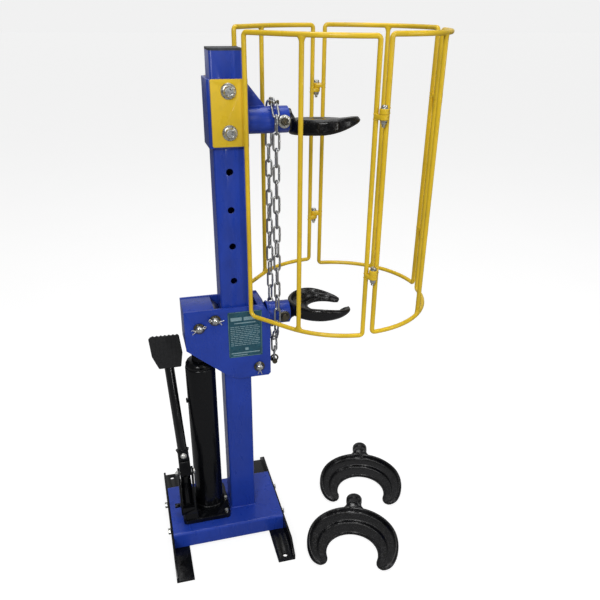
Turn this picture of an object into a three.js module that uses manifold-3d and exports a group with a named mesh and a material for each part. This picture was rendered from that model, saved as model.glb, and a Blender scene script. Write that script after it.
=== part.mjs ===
// Foot-pumped coil spring compressor: post on a base tray, hydraulic ram that lifts a roller carriage,
// two yokes on round arms, a four-panel safety cage, a safety chain and two spare yokes.
// Millimetres, Z up. X runs from the post towards the cage, Y away from the front of the machine.
import * as THREE from 'three';
import { mergeVertices } from 'three/addons/utils/BufferGeometryUtils.js';
import Module from 'manifold-3d';

const wasm = await Module();
wasm.setup();

// ---------------------------------------------------------------- driving dimensions
const GAP = 0.3;                 // clearance between neighbouring pieces
const FINE = 24;                 // flats round a large, a middle and a small circle
const ROUND = 16;
const SMALL = 12;

const SHEET = 5;                 // folded steel of the tray, feet and carriage plates
const TRAY = { left: -178, right: 88, half: 87, bottom: 5, top: 47, bend: 6 };
const FOOT = { flange: 40, height: 40, half: 187, holeY: 172, holeInset: 19, holeR: 5.5, chamfer: 32 };
const FOOT_BOLT_Y = [-48, 45];
const FOOT_BOLT_Z = 25;

const POST = { half: 30, wall: 4, round: 5, top: 1092 };
const POST_CAP_TOP = 1096;
const POST_HOLE_R = 7;
const HOLE_PITCH = 74.5;
const SLEEVE_HOLE_Z = [954.5, 1029];
const OPEN_HOLE_COUNT = 4;

const SLEEVE = { half: 37.5, wall: 7.2, bottom: 926, top: 1046 };
const CAGE_PLATE = { left: -32, right: 33, bottom: 929, top: 1046.5, thick: 5, round: 3 };
const SLEEVE_BOLT = { x: -1, r: 6, washerR: 14, washerThick: 2.5, headFlats: 19, headThick: 8 };

const ARM = { r: 25, wall: 4, upperZ: 969, lowerZ: 561, upperEnd: 119, lowerEnd: 122 };
const LOCK_BOLT = { x: 107, r: 5, grooveHalf: 6.2, grooveDepth: 4.5, washerR: 11.5 };
const SPIGOT = { r: 20.6, start: 86 };

const RAM = { x: -80, r: 33.2, bore: 24, bottom: 59, top: 452, glandTop: 466, rodR: 17, rodFoot: 130, plugZ: 362 };
const RAM_BLOCK = { left: -150, right: -36, front: -60, rear: 57, bottom: 47, top: 59, round: 9 };
const VALVE = { y: -16, z: 72, r: 4, depth: 12 };

const CARRIAGE = { outer: 40, top: 600, bottom: 427, left: -110, right: 72 };
const PIN = { r: 8, washerR: 12, washerThick: 2.5, end: 51 };
const CLEVIS_PIN = { x: RAM.x, z: 561 };
const ROLLER = { r: 15.7, half: 28, bore: 8.3 };
const UPPER_ROLLER_PIN = { x: -46, z: 576 };
const LOWER_ROLLER_PIN = { x: 46, z: 452 };

const CAGE = { x: 236, r: 188, wire: 4.75, corner: 9, gapHalf: 10 };
const PANEL = {
  frontLeft: { bottom: 582, top: 1118, middle: 0.46 },
  rearLeft: { bottom: 604, top: 1123, middle: 0.42 },
  frontRight: { bottom: 586, top: 1121, middle: 0.5 },
  rearRight: { bottom: 592, top: 1124, middle: 0.5 },
};
const CAGE_ROOT = { x: 29.5, y: 47.6 };
const EYE = { out: 10, r: 8.2, bore: 3.6, thick: 9 };
const HINGE_Z = [714, 1003];
const LATCH_Z = [719, 1000];
const HINGE_BOLT_R = 3.2;

const CHAIN = { x: 89.5, side: 33, wireR: 3.5, joinZ: 494, endZ: 433 };

const UPPER_YOKE_TILT = 4.5;
const MACHINE_YOKE = {
  inner: 42, outer: 73, innerX: 210, outerX: 196, half: 141, rise: 5, neckStart: 122.6, spigotEnd: 86, base: -5,
};
const SPARE_YOKE = {
  inner: 61, outer: 110, innerX: 212, outerX: 188, half: 121, rise: 0, neckStart: 74, spigotEnd: 42, base: -20.6,
};
const YOKE_BODY = { rim: 29, seat: 15, wall: 11 };
const REAR_SPARE = { x: 328.6, y: 12, turn: 71 };
const FRONT_SPARE = { x: 236, y: -185, turn: 69 };

const PUMP = { x: -136, pistonY: -40.5, barrelR: 13, barrelTop: 168, earInner: 13.3, earOuter: 17.6 };
const PIVOT = { y: -57, z: 205, r: 4 };
const LEVER = { lean: 19, side: -2.6, axisOut: 8.5, armR: 9.5, socketR: 12.5 };

// ---------------------------------------------------------------- finishes
const PAINT_BLUE = { color: 0x2a4aa8, roughness: 0.42, metalness: 0.05 };
const PAINT_YELLOW = { color: 0xe0b92e, roughness: 0.45, metalness: 0.05 };
const PAINT_BLACK = { color: 0x16171a, roughness: 0.4, metalness: 0.05 };
const CAST_BLACK = { color: 0x131315, roughness: 0.35, metalness: 0.1 };
const ZINC = { color: 0xb9bcbe, roughness: 0.35, metalness: 0.9 };
const CHROME = { color: 0xd5d8da, roughness: 0.12, metalness: 1.0 };
const BARE_STEEL = { color: 0x9a9c9e, roughness: 0.4, metalness: 0.9 };
const DARK_PLASTIC = { color: 0x35383c, roughness: 0.6, metalness: 0.0 };
const DARK_RUBBER = { color: 0x1b1c1e, roughness: 0.75, metalness: 0.0 };
const LABEL_TEAL = { color: 0x1f5f73, roughness: 0.4, metalness: 0.0 };

const group = new THREE.Group();
group.name = 'coil_spring_compressor';

// ---------------------------------------------------------------- solid helpers
function point(x, y, z) {
  return new THREE.Vector3(x, y, z);
}

function signedVolume(positions, index) {
  let sum = 0;
  const corner = (k) => point(positions[3 * k], positions[3 * k + 1], positions[3 * k + 2]);
  for (let i = 0; i < index.length; i += 3) {
    sum += corner(index[i]).dot(corner(index[i + 1]).cross(corner(index[i + 2])));
  }
  return sum / 6;
}

// welds the vertices, drops collapsed triangles and turns every face outwards
function weld(geometry) {
  const bare = geometry.clone();
  bare.deleteAttribute('normal');
  bare.deleteAttribute('uv');
  const merged = mergeVertices(bare, 1e-4);
  const source = merged.index.array;
  const positions = merged.attributes.position.array;
  const index = [];
  for (let i = 0; i < source.length; i += 3) {
    const [a, b, c] = [source[i], source[i + 1], source[i + 2]];
    if (a !== b && b !== c && a !== c) index.push(a, b, c);
  }
  if (signedVolume(positions, index) < 0) index.reverse();
  return { positions, index };
}

function toManifold(shape) {
  if (!shape.isBufferGeometry) return shape;
  const { positions, index } = weld(shape);
  const mesh = new wasm.Mesh({
    numProp: 3,
    vertProperties: new Float32Array(positions),
    triVerts: new Uint32Array(index),
  });
  return new wasm.Manifold(mesh);
}

function toGeometry(shape) {
  const geometry = new THREE.BufferGeometry();
  if (shape.isBufferGeometry) {
    const { positions, index } = weld(shape);
    geometry.setAttribute('position', new THREE.BufferAttribute(new Float32Array(positions), 3));
    geometry.setIndex(index);
  } else {
    const mesh = shape.getMesh();
    geometry.setAttribute('position', new THREE.BufferAttribute(mesh.vertProperties, 3));
    geometry.setIndex(new THREE.BufferAttribute(mesh.triVerts, 1));
  }
  geometry.computeVertexNormals();
  return geometry;
}

function join(...shapes) {
  return shapes.map(toManifold).reduce((a, b) => a.add(b));
}

function cut(base, ...tools) {
  return tools.map(toManifold).reduce((a, b) => a.subtract(b), toManifold(base));
}

function piece(name, shape, finish) {
  const material = new THREE.MeshStandardMaterial(finish);
  const mesh = new THREE.Mesh(toGeometry(shape), material);
  mesh.name = name;
  group.add(mesh);
}

function block(x0, x1, y0, y1, z0, z1) {
  const geometry = new THREE.BoxGeometry(x1 - x0, y1 - y0, z1 - z0);
  geometry.translate((x0 + x1) / 2, (y0 + y1) / 2, (z0 + z1) / 2);
  return geometry;
}

// round bar, or cone when the second radius differs, between two points
function bar(start, end, radius, sides = ROUND, endRadius = radius) {
  const along = end.clone().sub(start);
  const geometry = new THREE.CylinderGeometry(endRadius, radius, along.length(), sides);
  const turn = new THREE.Quaternion().setFromUnitVectors(point(0, 1, 0), along.normalize());
  geometry.applyQuaternion(turn);
  const middle = start.clone().add(end).multiplyScalar(0.5);
  geometry.translate(middle.x, middle.y, middle.z);
  return geometry;
}

function barX(x0, x1, y, z, radius, sides) {
  return bar(point(x0, y, z), point(x1, y, z), radius, sides);
}

function barY(x, y0, y1, z, radius, sides) {
  return bar(point(x, y0, z), point(x, y1, z), radius, sides);
}

function barZ(x, y, z0, z1, radius, sides) {
  return bar(point(x, y, z0), point(x, y, z1), radius, sides);
}

function hexRadius(flats) {
  return flats / Math.sqrt(3);
}

// flat outline given as corner points, thickened along one axis
// axis 'y': points are (x, z); axis 'x': points are (y, z); axis 'z': points are (x, y)
function slab(outline, axis, from, to) {
  const shape = outline instanceof THREE.Shape ? outline : new THREE.Shape(outline.map(([a, b]) => new THREE.Vector2(a, b)));
  const geometry = new THREE.ExtrudeGeometry(shape, { depth: to - from, bevelEnabled: false, curveSegments: 3 });
  const place = new THREE.Matrix4();
  if (axis === 'x') place.makeBasis(point(0, 1, 0), point(0, 0, 1), point(1, 0, 0)).setPosition(from, 0, 0);
  if (axis === 'y') place.makeBasis(point(1, 0, 0), point(0, 0, 1), point(0, -1, 0)).setPosition(0, to, 0);
  if (axis === 'z') place.setPosition(0, 0, from);
  geometry.applyMatrix4(place);
  return geometry;
}

function roundedBox2(x0, x1, y0, y1, radius) {
  const shape = new THREE.Shape();
  shape.moveTo(x0 + radius, y0);
  shape.lineTo(x1 - radius, y0);
  shape.absarc(x1 - radius, y0 + radius, radius, -Math.PI / 2, 0, false);
  shape.lineTo(x1, y1 - radius);
  shape.absarc(x1 - radius, y1 - radius, radius, 0, Math.PI / 2, false);
  shape.lineTo(x0 + radius, y1);
  shape.absarc(x0 + radius, y1 - radius, radius, Math.PI / 2, Math.PI, false);
  shape.lineTo(x0, y0 + radius);
  shape.absarc(x0 + radius, y0 + radius, radius, Math.PI, 1.5 * Math.PI, false);
  return shape;
}

// solid turned about a vertical line; the profile is a list of (radius, z) from foot to head
function turned(profile, x, y, sides = FINE) {
  const points = profile.map(([r, z]) => new THREE.Vector2(r, z));
  const geometry = new THREE.LatheGeometry(points, sides);
  geometry.rotateX(Math.PI / 2);
  geometry.translate(x, y, 0);
  return geometry;
}

// skin through a list of equal-length rings; open runs get flat ends cut from the ring outline
function loft(rings, outlines) {
  const count = rings[0].length;
  const positions = rings.flat().flatMap((p) => [p.x, p.y, p.z]);
  const index = [];
  const runs = outlines ? rings.length - 1 : rings.length;
  for (let i = 0; i < runs; i++) {
    const here = i * count;
    const next = ((i + 1) % rings.length) * count;
    for (let k = 0; k < count; k++) {
      const m = (k + 1) % count;
      index.push(here + k, here + m, next + m, here + k, next + m, next + k);
    }
  }
  if (outlines) {
    const last = (rings.length - 1) * count;
    for (const [a, b, c] of THREE.ShapeUtils.triangulateShape(outlines[0], [])) index.push(a, c, b);
    for (const [a, b, c] of THREE.ShapeUtils.triangulateShape(outlines[1], [])) {
      index.push(last + a, last + b, last + c);
    }
  }
  const geometry = new THREE.BufferGeometry();
  geometry.setAttribute('position', new THREE.Float32BufferAttribute(positions, 3));
  geometry.setIndex(index);
  return geometry;
}

function ringAround(centre, normal, binormal, radius, sides) {
  const ring = [];
  for (let k = 0; k < sides; k++) {
    const angle = (2 * Math.PI * (k + 0.5)) / sides;
    ring.push(centre.clone()
      .addScaledVector(normal, radius * Math.cos(angle))
      .addScaledVector(binormal, radius * Math.sin(angle)));
  }
  return ring;
}

// round bar bent along a smooth open line of points that stays in one plane with the given normal
function bentBar(points, planeNormal, radius, sides) {
  const rings = points.map((p, i) => {
    const before = points[Math.max(i - 1, 0)];
    const after = points[Math.min(i + 1, points.length - 1)];
    const along = after.clone().sub(before).normalize();
    const across = planeNormal.clone().cross(along).normalize();
    return ringAround(p, planeNormal, across, radius, sides);
  });
  const outline = [];
  for (let k = 0; k < sides; k++) {
    const angle = (2 * Math.PI * k) / sides;
    outline.push(new THREE.Vector2(Math.cos(angle), Math.sin(angle)));
  }
  return loft(rings, [outline, outline]);
}

// ---------------------------------------------------------------- base
function buildTray() {
  const outer = [
    [-TRAY.half, TRAY.bottom], [-TRAY.half, TRAY.top - TRAY.bend], [-TRAY.half + TRAY.bend, TRAY.top],
    [TRAY.half - TRAY.bend, TRAY.top], [TRAY.half, TRAY.top - TRAY.bend], [TRAY.half, TRAY.bottom],
    [TRAY.half - SHEET, TRAY.bottom], [TRAY.half - SHEET, TRAY.top - SHEET],
    [-TRAY.half + SHEET, TRAY.top - SHEET], [-TRAY.half + SHEET, TRAY.bottom],
  ];
  const channel = slab(outer, 'x', TRAY.left, TRAY.right);
  const endFlange = (x) => block(x, x + SHEET, -TRAY.half + 1, TRAY.half - 1, 10, TRAY.top - 1);
  const holes = [];
  for (const y of FOOT_BOLT_Y) {
    holes.push(barX(TRAY.left - 1, TRAY.left + SHEET + 1, y, FOOT_BOLT_Z, 4.4, SMALL));
    holes.push(barX(TRAY.right - SHEET - 1, TRAY.right + 1, y, FOOT_BOLT_Z, 4.4, SMALL));
  }
  const tray = cut(join(channel, endFlange(TRAY.left), endFlange(TRAY.right - SHEET)), ...holes);
  piece('base_tray', tray, PAINT_BLUE);
}

// angle iron foot; side is -1 for the left foot and +1 for the right one
function buildFoot(side) {
  const face = side < 0 ? TRAY.left : TRAY.right;
  const outside = face + side * SHEET;
  const inside = outside - side * FOOT.flange;
  const chamfer = FOOT.half - FOOT.chamfer;
  const low = FOOT.height * 0.35;
  const wall = slab([
    [-FOOT.half, 0], [FOOT.half, 0], [FOOT.half, low], [chamfer, FOOT.height], [-chamfer, FOOT.height],
    [-FOOT.half, low],
  ], 'x', Math.min(face, outside), Math.max(face, outside));
  const flat = block(Math.min(inside, outside), Math.max(inside, outside), -FOOT.half, FOOT.half, 0, SHEET);
  const holeX = inside + side * FOOT.holeInset;
  const tools = [barZ(holeX, -side * FOOT.holeY, -1, SHEET + 1, FOOT.holeR, SMALL)];
  for (const y of FOOT_BOLT_Y) {
    tools.push(barX(Math.min(face, outside) - 1, Math.max(face, outside) + 1, y, FOOT_BOLT_Z, 4.4, SMALL));
  }
  piece(side < 0 ? 'left_foot_angle' : 'right_foot_angle', cut(join(wall, flat), ...tools), PAINT_BLACK);
}

// bolt through the foot and the tray wall: hex head outside, nut inside
function buildFootBolt(side, which) {
  const y = FOOT_BOLT_Y[which];
  const face = side < 0 ? TRAY.left : TRAY.right;
  const outside = face + side * (SHEET + 0.05);
  const within = face - side * (SHEET + 0.05);
  const head = barX(outside, outside + side * 6, y, FOOT_BOLT_Z, hexRadius(13), 6);
  const nut = barX(within, within - side * 6.5, y, FOOT_BOLT_Z, hexRadius(13), 6);
  const shank = barX(within - side * 9, outside + side, y, FOOT_BOLT_Z, 4, SMALL);
  const name = `${side < 0 ? 'left' : 'right'}_foot_bolt_${which === 0 ? 'front' : 'rear'}`;
  piece(name, join(head, nut, shank), ZINC);
}

// ---------------------------------------------------------------- post, sleeve and upper arm
function squareTube(half, wall, round, z0, z1) {
  const outer = slab(roundedBox2(-half, half, -half, half, round), 'z', z0, z1);
  const inner = half - wall;
  const innerRound = Math.max(round - wall, 1);
  const hollow = slab(roundedBox2(-inner, inner, -inner, inner, innerRound), 'z', z0 - 1, z1 + 1);
  return cut(outer, hollow);
}

function buildPost() {
  const holes = [];
  for (let k = 1; k <= OPEN_HOLE_COUNT; k++) {
    const z = SLEEVE_HOLE_Z[0] - k * HOLE_PITCH;
    holes.push(barY(SLEEVE_BOLT.x, -POST.half - 1, POST.half + 1, z, POST_HOLE_R, SMALL));
  }
  for (const z of SLEEVE_HOLE_Z) {
    holes.push(barY(SLEEVE_BOLT.x, -POST.half - 1, POST.half + 1, z, POST_HOLE_R, SMALL));
  }
  const tube = squareTube(POST.half, POST.wall, POST.round, TRAY.top, POST.top);
  piece('post', cut(tube, ...holes), PAINT_BLUE);
}

function buildPostCap() {
  const lid = slab(roundedBox2(-30, 30, -30, 30, POST.round), 'z', POST.top, POST_CAP_TOP);
  const inner = POST.half - POST.wall - GAP;
  const plug = slab(roundedBox2(-inner, inner, -inner, inner, 1), 'z', POST.top - 14, POST.top + 1);
  piece('post_cap', join(lid, plug), DARK_PLASTIC);
}

function buildSleeve() {
  const tube = squareTube(SLEEVE.half, SLEEVE.wall, 6, SLEEVE.bottom, SLEEVE.top);
  const reach = SLEEVE.half + 1;
  const holes = SLEEVE_HOLE_Z.map((z) => barY(SLEEVE_BOLT.x, -reach, reach, z, POST_HOLE_R, SMALL));
  piece('upper_sleeve', cut(tube, ...holes), PAINT_BLUE);
}

function armTube(start, end, z) {
  const bore = ARM.r - ARM.wall;
  const tube = cut(barX(start, end, 0, z, ARM.r, FINE), barX(start - 1, end + 1, 0, z, bore, FINE));
  const hole = barY(LOCK_BOLT.x, -ARM.r - 2, -bore + 3, z, LOCK_BOLT.r + GAP, SMALL);
  return cut(tube, hole);
}

function buildUpperArm() {
  piece('upper_arm_tube', armTube(SLEEVE.half, ARM.upperEnd, ARM.upperZ), PAINT_BLUE);
  const foot = ARM.upperZ + ARM.r;
  const gusset = slab([
    [SLEEVE.half, foot], [74, foot], [74, foot + 2], [SLEEVE.half + 3, foot + 43], [SLEEVE.half, foot + 43],
  ], 'y', -4, 4);
  piece('upper_arm_gusset', gusset, PAINT_BLUE);
}

function buildCagePlate(side) {
  const y0 = side < 0 ? -SLEEVE.half - CAGE_PLATE.thick : SLEEVE.half;
  const outline = roundedBox2(CAGE_PLATE.left, CAGE_PLATE.right, CAGE_PLATE.bottom, CAGE_PLATE.top, CAGE_PLATE.round);
  const plate = slab(outline, 'y', y0, y0 + CAGE_PLATE.thick);
  const holes = SLEEVE_HOLE_Z.map((z) => barY(SLEEVE_BOLT.x, y0 - 1, y0 + CAGE_PLATE.thick + 1, z, POST_HOLE_R, SMALL));
  piece(side < 0 ? 'cage_plate_front' : 'cage_plate_rear', cut(plate, ...holes), PAINT_YELLOW);
}

// long bolt through plates, sleeve and post: hex head and washer in front, washer and nut behind
function buildSleeveBolt(which) {
  const z = SLEEVE_HOLE_Z[which];
  const x = SLEEVE_BOLT.x;
  const face = SLEEVE.half + CAGE_PLATE.thick + 0.05;
  const washer = face + SLEEVE_BOLT.washerThick;
  const hex = hexRadius(SLEEVE_BOLT.headFlats);
  const shape = join(
    barY(x, -washer, -face, z, SLEEVE_BOLT.washerR, ROUND),
    barY(x, -washer - SLEEVE_BOLT.headThick, -washer + 0.5, z, hex, 6),
    barY(x, -washer, washer + 14, z, SLEEVE_BOLT.r, SMALL),
    barY(x, face, washer, z, SLEEVE_BOLT.washerR, ROUND),
    barY(x, washer - 0.5, washer + 10, z, hex, 6),
  );
  piece(which === 0 ? 'sleeve_bolt_lower' : 'sleeve_bolt_upper', shape, ZINC);
}

// ---------------------------------------------------------------- hydraulic ram
function buildRamBlock() {
  const b = RAM_BLOCK;
  const flange = slab(roundedBox2(b.left, b.right, b.front, b.rear, b.round), 'z', b.bottom, b.top);
  const boss = turned([[0, b.bottom + 1], [35, b.bottom + 1], [35, b.top + 4], [RAM.r + 1, b.top + 7],
    [0, b.top + 7]], RAM.x, 0, FINE);
  const bridge = slab(roundedBox2(b.left + 2, -113, b.front + 3, 20, 6), 'z', b.bottom + 1, 84);
  const room = barZ(RAM.x, 0, b.top, 120, RAM.r + GAP, FINE);
  const shape = cut(join(flange, boss, bridge), room, barZ(PUMP.x, PUMP.pistonY, 70, 90, PUMP.barrelR + GAP, ROUND),
    barX(b.left - 1, b.left + VALVE.depth + 2, VALVE.y, VALVE.z, VALVE.r + GAP, SMALL));
  piece('ram_base_block', shape, PAINT_BLACK);
}

function buildRamBaseBolt(which) {
  const [x, y] = which === 0 ? [-45, -50] : [-40.6, -5];
  const top = RAM_BLOCK.top + 0.05;
  piece(which === 0 ? 'ram_base_bolt_front' : 'ram_base_bolt_rear', barZ(x, y, top, top + 6, 4.3, 6), ZINC);
}

function buildRamCylinder() {
  const floor = RAM.bottom + 16;
  const shape = turned([[0, RAM.bottom], [RAM.r, RAM.bottom], [RAM.r, RAM.top - 5], [RAM.r - 1.5, RAM.top],
    [RAM.bore, RAM.top], [RAM.bore, floor], [0, floor]], RAM.x, 0, FINE);
  const plugHole = barX(RAM.x - RAM.r - 2, RAM.x - RAM.bore - 2, 0, RAM.plugZ, 4.3, SMALL);
  piece('ram_cylinder', cut(shape, plugHole), PAINT_BLACK);
}

function buildRamGland() {
  const bore = RAM.rodR + GAP;
  const shape = turned([[bore, RAM.top + 0.05], [32, RAM.top + 0.05], [32, RAM.top + 5], [29, RAM.top + 11],
    [24, RAM.glandTop], [bore, RAM.glandTop], [bore, RAM.top + 0.05]], RAM.x, 0, FINE);
  const notch = (turn) => {
    const slot = block(-4, 4, -36, -27, RAM.top + 4, RAM.glandTop + 1);
    slot.rotateZ(turn);
    slot.translate(RAM.x, 0, 0);
    return slot;
  };
  piece('ram_gland', cut(shape, ...[0, 1, 2, 3].map((k) => notch((k * Math.PI) / 2))), PAINT_BLACK);
}

function buildFillerPlug() {
  const skin = RAM.x - RAM.r;
  const z = RAM.plugZ;
  piece('ram_filler_plug', join(barX(skin - 5, skin - 0.1, 0, z, 6, SMALL), barX(skin - 1, skin + 4.5, 0, z, 4, SMALL)), DARK_RUBBER);
}

// piston, chromed rod and the rod eye, which is turned and milled from one bar
function buildRamRod() {
  const stem = turned([[0, RAM.rodFoot], [RAM.bore - 0.4, RAM.rodFoot], [RAM.bore - 0.4, RAM.rodFoot + 18],
    [RAM.rodR, RAM.rodFoot + 18], [RAM.rodR, 540], [0, 540]], RAM.x, 0, FINE);
  const eye = join(stem, barY(CLEVIS_PIN.x, -19, 19, CLEVIS_PIN.z, 19, ROUND), barZ(RAM.x, 0, 538, 556, SMALL, 32));
  piece('ram_rod', cut(eye, barY(CLEVIS_PIN.x, -30, 30, CLEVIS_PIN.z, PIN.r + GAP, ROUND)), CHROME);
}

// ---------------------------------------------------------------- carriage
function carriageOutline() {
  const c = CARRIAGE;
  return [
    [c.left, c.top], [58, c.top], [c.right, c.top - 24], [c.right, c.bottom + 5], [c.right - 5, c.bottom],
    [0, c.bottom], [-22, c.bottom + 9], [c.left, 510],
  ];
}

function carriagePins() {
  return [CLEVIS_PIN, UPPER_ROLLER_PIN, LOWER_ROLLER_PIN];
}

function buildCarriagePlate(side) {
  const inner = CARRIAGE.outer - SHEET;
  const [y0, y1] = side < 0 ? [-CARRIAGE.outer, -inner] : [inner, CARRIAGE.outer];
  const holes = carriagePins().map((p) => barY(p.x, y0 - 1, y1 + 1, p.z, PIN.r + GAP, ROUND));
  const name = side < 0 ? 'carriage_front_plate' : 'carriage_rear_plate';
  piece(name, cut(slab(carriageOutline(), 'y', y0, y1), ...holes), PAINT_BLUE);
}

function buildCarriageWebs() {
  const inner = CARRIAGE.outer - SHEET;
  const c = CARRIAGE;
  const leftWeb = slab([
    [c.left, 511], [c.left, c.top - 0.5], [-46, c.top - 0.5], [-46, c.top - 5], [c.left + 5, c.top - 5],
    [c.left + 5, 515],
  ], 'y', -inner, inner);
  piece('carriage_left_web', leftWeb, PAINT_BLUE);
  const rightWeb = slab([
    [c.right, 500], [c.right, c.top - 24.5], [58, c.top - 1.5], [46, c.top - 1.5], [46, c.top - 6],
    [56, c.top - 6], [c.right - 5, c.top - 26], [c.right - 5, 500],
  ], 'y', -inner, inner);
  piece('carriage_right_web', rightWeb, PAINT_BLUE);
}

// turned pin with a washer and a split pin at each end
function buildCarriagePin(name, place) {
  const face = CARRIAGE.outer + 0.1;
  const parts = [barY(place.x, -PIN.end, PIN.end, place.z, PIN.r, ROUND)];
  for (const side of [-1, 1]) {
    const near = side * face;
    const far = side * (face + PIN.washerThick);
    parts.push(barY(place.x, Math.min(near, far), Math.max(near, far), place.z, PIN.washerR, ROUND));
    const eyeEnd = point(place.x - 11, side * 46.5, place.z - 2.5);
    const legEnd = point(place.x + 15, side * 46.5, place.z + 3.5);
    parts.push(bar(eyeEnd, legEnd, 1.6, 8));
  }
  piece(name, join(...parts), ZINC);
}

function buildRoller(name, place) {
  const body = barY(place.x, -ROLLER.half, ROLLER.half, place.z, ROLLER.r, FINE);
  piece(name, cut(body, barY(place.x, -40, 40, place.z, ROLLER.bore, ROUND)), BARE_STEEL);
}

function buildLabel() {
  const outline = roundedBox2(-18, 52, 484, 589, 3);
  piece('rating_label', slab(outline, 'y', -CARRIAGE.outer - 0.5, -CARRIAGE.outer), LABEL_TEAL);
}

function buildLowerArm() {
  piece('lower_arm_tube', armTube(CARRIAGE.right, ARM.lowerEnd, ARM.lowerZ), PAINT_BLUE);
}

// clamping bolt whose tip sits in the groove round the yoke spigot
function buildLockBolt(name, z) {
  const x = LOCK_BOLT.x;
  const tip = -SPIGOT.r + LOCK_BOLT.grooveDepth - GAP;
  const shape = join(
    barY(x, -28.5, tip, z, LOCK_BOLT.r, SMALL),
    barY(x, -28.4, -25.9, z, LOCK_BOLT.washerR, ROUND),
    barY(x, -35, -28, z, hexRadius(15), 6),
  );
  piece(name, shape, ZINC);
}

// ---------------------------------------------------------------- yokes
// distance from the inner circle's centre to the outer circle, measured along one direction
function outerReach(y, away) {
  const shift = y.innerX - y.outerX;
  return -shift * away.x + Math.sqrt((shift * away.x) ** 2 - shift * shift + y.outer * y.outer);
}

// crescent casting with a dished seat inside a raised outer wall; the mouth opens along +X
function yokeCrescent(y) {
  const sweep = THREE.MathUtils.degToRad(y.half);
  const stations = 16;
  const rings = [];
  const ends = [];
  for (let i = 0; i <= stations; i++) {
    const t = -1 + (2 * i) / stations;
    const angle = Math.PI + t * sweep;
    const away = point(Math.cos(angle), Math.sin(angle), 0);
    const reach = outerReach(y, away);
    const taper = THREE.MathUtils.smoothstep(Math.abs(t), 0.4, 1);
    const tip = Math.max(0, (Math.abs(t) - 0.88) / 0.12);
    const middle = (y.inner + reach) / 2;
    const half = ((reach - y.inner) / 2) * (1 - 0.4 * tip * tip);
    const low = middle - half;
    const high = middle + half;
    const rim = YOKE_BODY.rim * (1 - 0.6 * taper);
    const seat = YOKE_BODY.seat * (1 - 0.4 * taper);
    const wall = Math.min(YOKE_BODY.wall, half * 0.8);
    const base = y.base + y.rise * t;
    const section = [
      [low + 2, 0], [high - 4, 0], [high, 5], [high, rim - 4], [high - wall * 0.3, rim], [high - wall * 0.65, rim],
      [high - wall, seat + 2], [low, seat - 4],
    ];
    rings.push(section.map(([r, z]) => point(y.innerX, 0, base + z).addScaledVector(away, r)));
    if (i === 0 || i === stations) ends.push(section.map(([r, z]) => new THREE.Vector2(r, z)));
  }
  return loft(rings, ends);
}

const NECK_SIDES = 14;

function neckRing(x, halfWidth, middle, halfHeight) {
  const ring = [];
  for (let k = 0; k < NECK_SIDES; k++) {
    const a = (2 * Math.PI * k) / NECK_SIDES;
    ring.push(point(x, halfWidth * Math.cos(a), middle + halfHeight * Math.sin(a)));
  }
  return ring;
}

// the whole casting around its own spigot axis, which lies at height zero and points along -X
function yoke(y) {
  const middle = y.base + YOKE_BODY.seat / 2;
  const high = y.base + YOKE_BODY.rim / 2;
  const back = y.outerX - y.outer;
  const neckRings = [
    neckRing(y.neckStart, 19.5, 0, 19.5),
    neckRing(y.neckStart + 7, 30, high * 0.5, 16),
    neckRing(back + 14, 36, high, YOKE_BODY.rim / 2 - 2.5),
    neckRing(y.innerX - y.inner - 14, 26, middle - 1, YOKE_BODY.seat / 2 - 3),
  ];
  const outline = neckRing(0, 1, 0, 1).map((p) => new THREE.Vector2(p.y, p.z));
  const spigot = barX(y.spigotEnd, y.neckStart + 3, 0, 0, SPIGOT.r, FINE);
  const body = join(yokeCrescent(y), loft(neckRings, [outline, outline]), spigot);
  const grooveX = y.spigotEnd + LOCK_BOLT.x - SPIGOT.start;
  const groove = cut(
    barX(grooveX - LOCK_BOLT.grooveHalf, grooveX + LOCK_BOLT.grooveHalf, 0, 0, SPIGOT.r + 2, FINE),
    barX(grooveX - 10, grooveX + 10, 0, 0, SPIGOT.r - LOCK_BOLT.grooveDepth, FINE),
  );
  return body.subtract(groove);
}

// the upper yoke hangs rim down, its front limb swivelled up a little on the spigot
function buildMachineYokes() {
  piece('lower_yoke', yoke(MACHINE_YOKE).translate([0, 0, ARM.lowerZ]), CAST_BLACK);
  const upper = yoke({ ...MACHINE_YOKE, base: 0 }).rotate([180 - UPPER_YOKE_TILT, 0, 0]);
  piece('upper_yoke', upper.translate([0, 0, ARM.upperZ]), CAST_BLACK);
}

// spare yoke lying flat on the floor beside the base
function buildSpareYoke(name, place) {
  const shape = yoke(SPARE_YOKE)
    .translate([-SPARE_YOKE.outerX, 0, -SPARE_YOKE.base])
    .rotate([0, 0, place.turn - 180])
    .translate([place.x, place.y, 0]);
  piece(name, shape, CAST_BLACK);
}

// ---------------------------------------------------------------- safety cage
// plan line of a panel: points with the outward normal, spaced along the length
function arcPlan(fromDeg, toDeg, steps) {
  const plan = [];
  for (let i = 0; i <= steps; i++) {
    const a = THREE.MathUtils.degToRad(fromDeg + ((toDeg - fromDeg) * i) / steps);
    const out = point(Math.cos(a), Math.sin(a), 0);
    plan.push({ at: point(CAGE.x, 0, 0).addScaledVector(out, CAGE.r), out });
  }
  return plan;
}

// straight start from the bolted plate, running into the arc where it is tangent
function rootedPlan(endDeg, steps) {
  const reach = Math.hypot(CAGE.x - CAGE_ROOT.x, CAGE_ROOT.y);
  const toRoot = Math.atan2(-CAGE_ROOT.y, CAGE_ROOT.x - CAGE.x);
  const tangent = toRoot + Math.acos(CAGE.r / reach);
  const arc = arcPlan(THREE.MathUtils.radToDeg(tangent), endDeg, steps);
  const root = { at: point(CAGE_ROOT.x, -CAGE_ROOT.y, 0), out: arc[0].out.clone() };
  return [root, ...arc];
}

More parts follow.
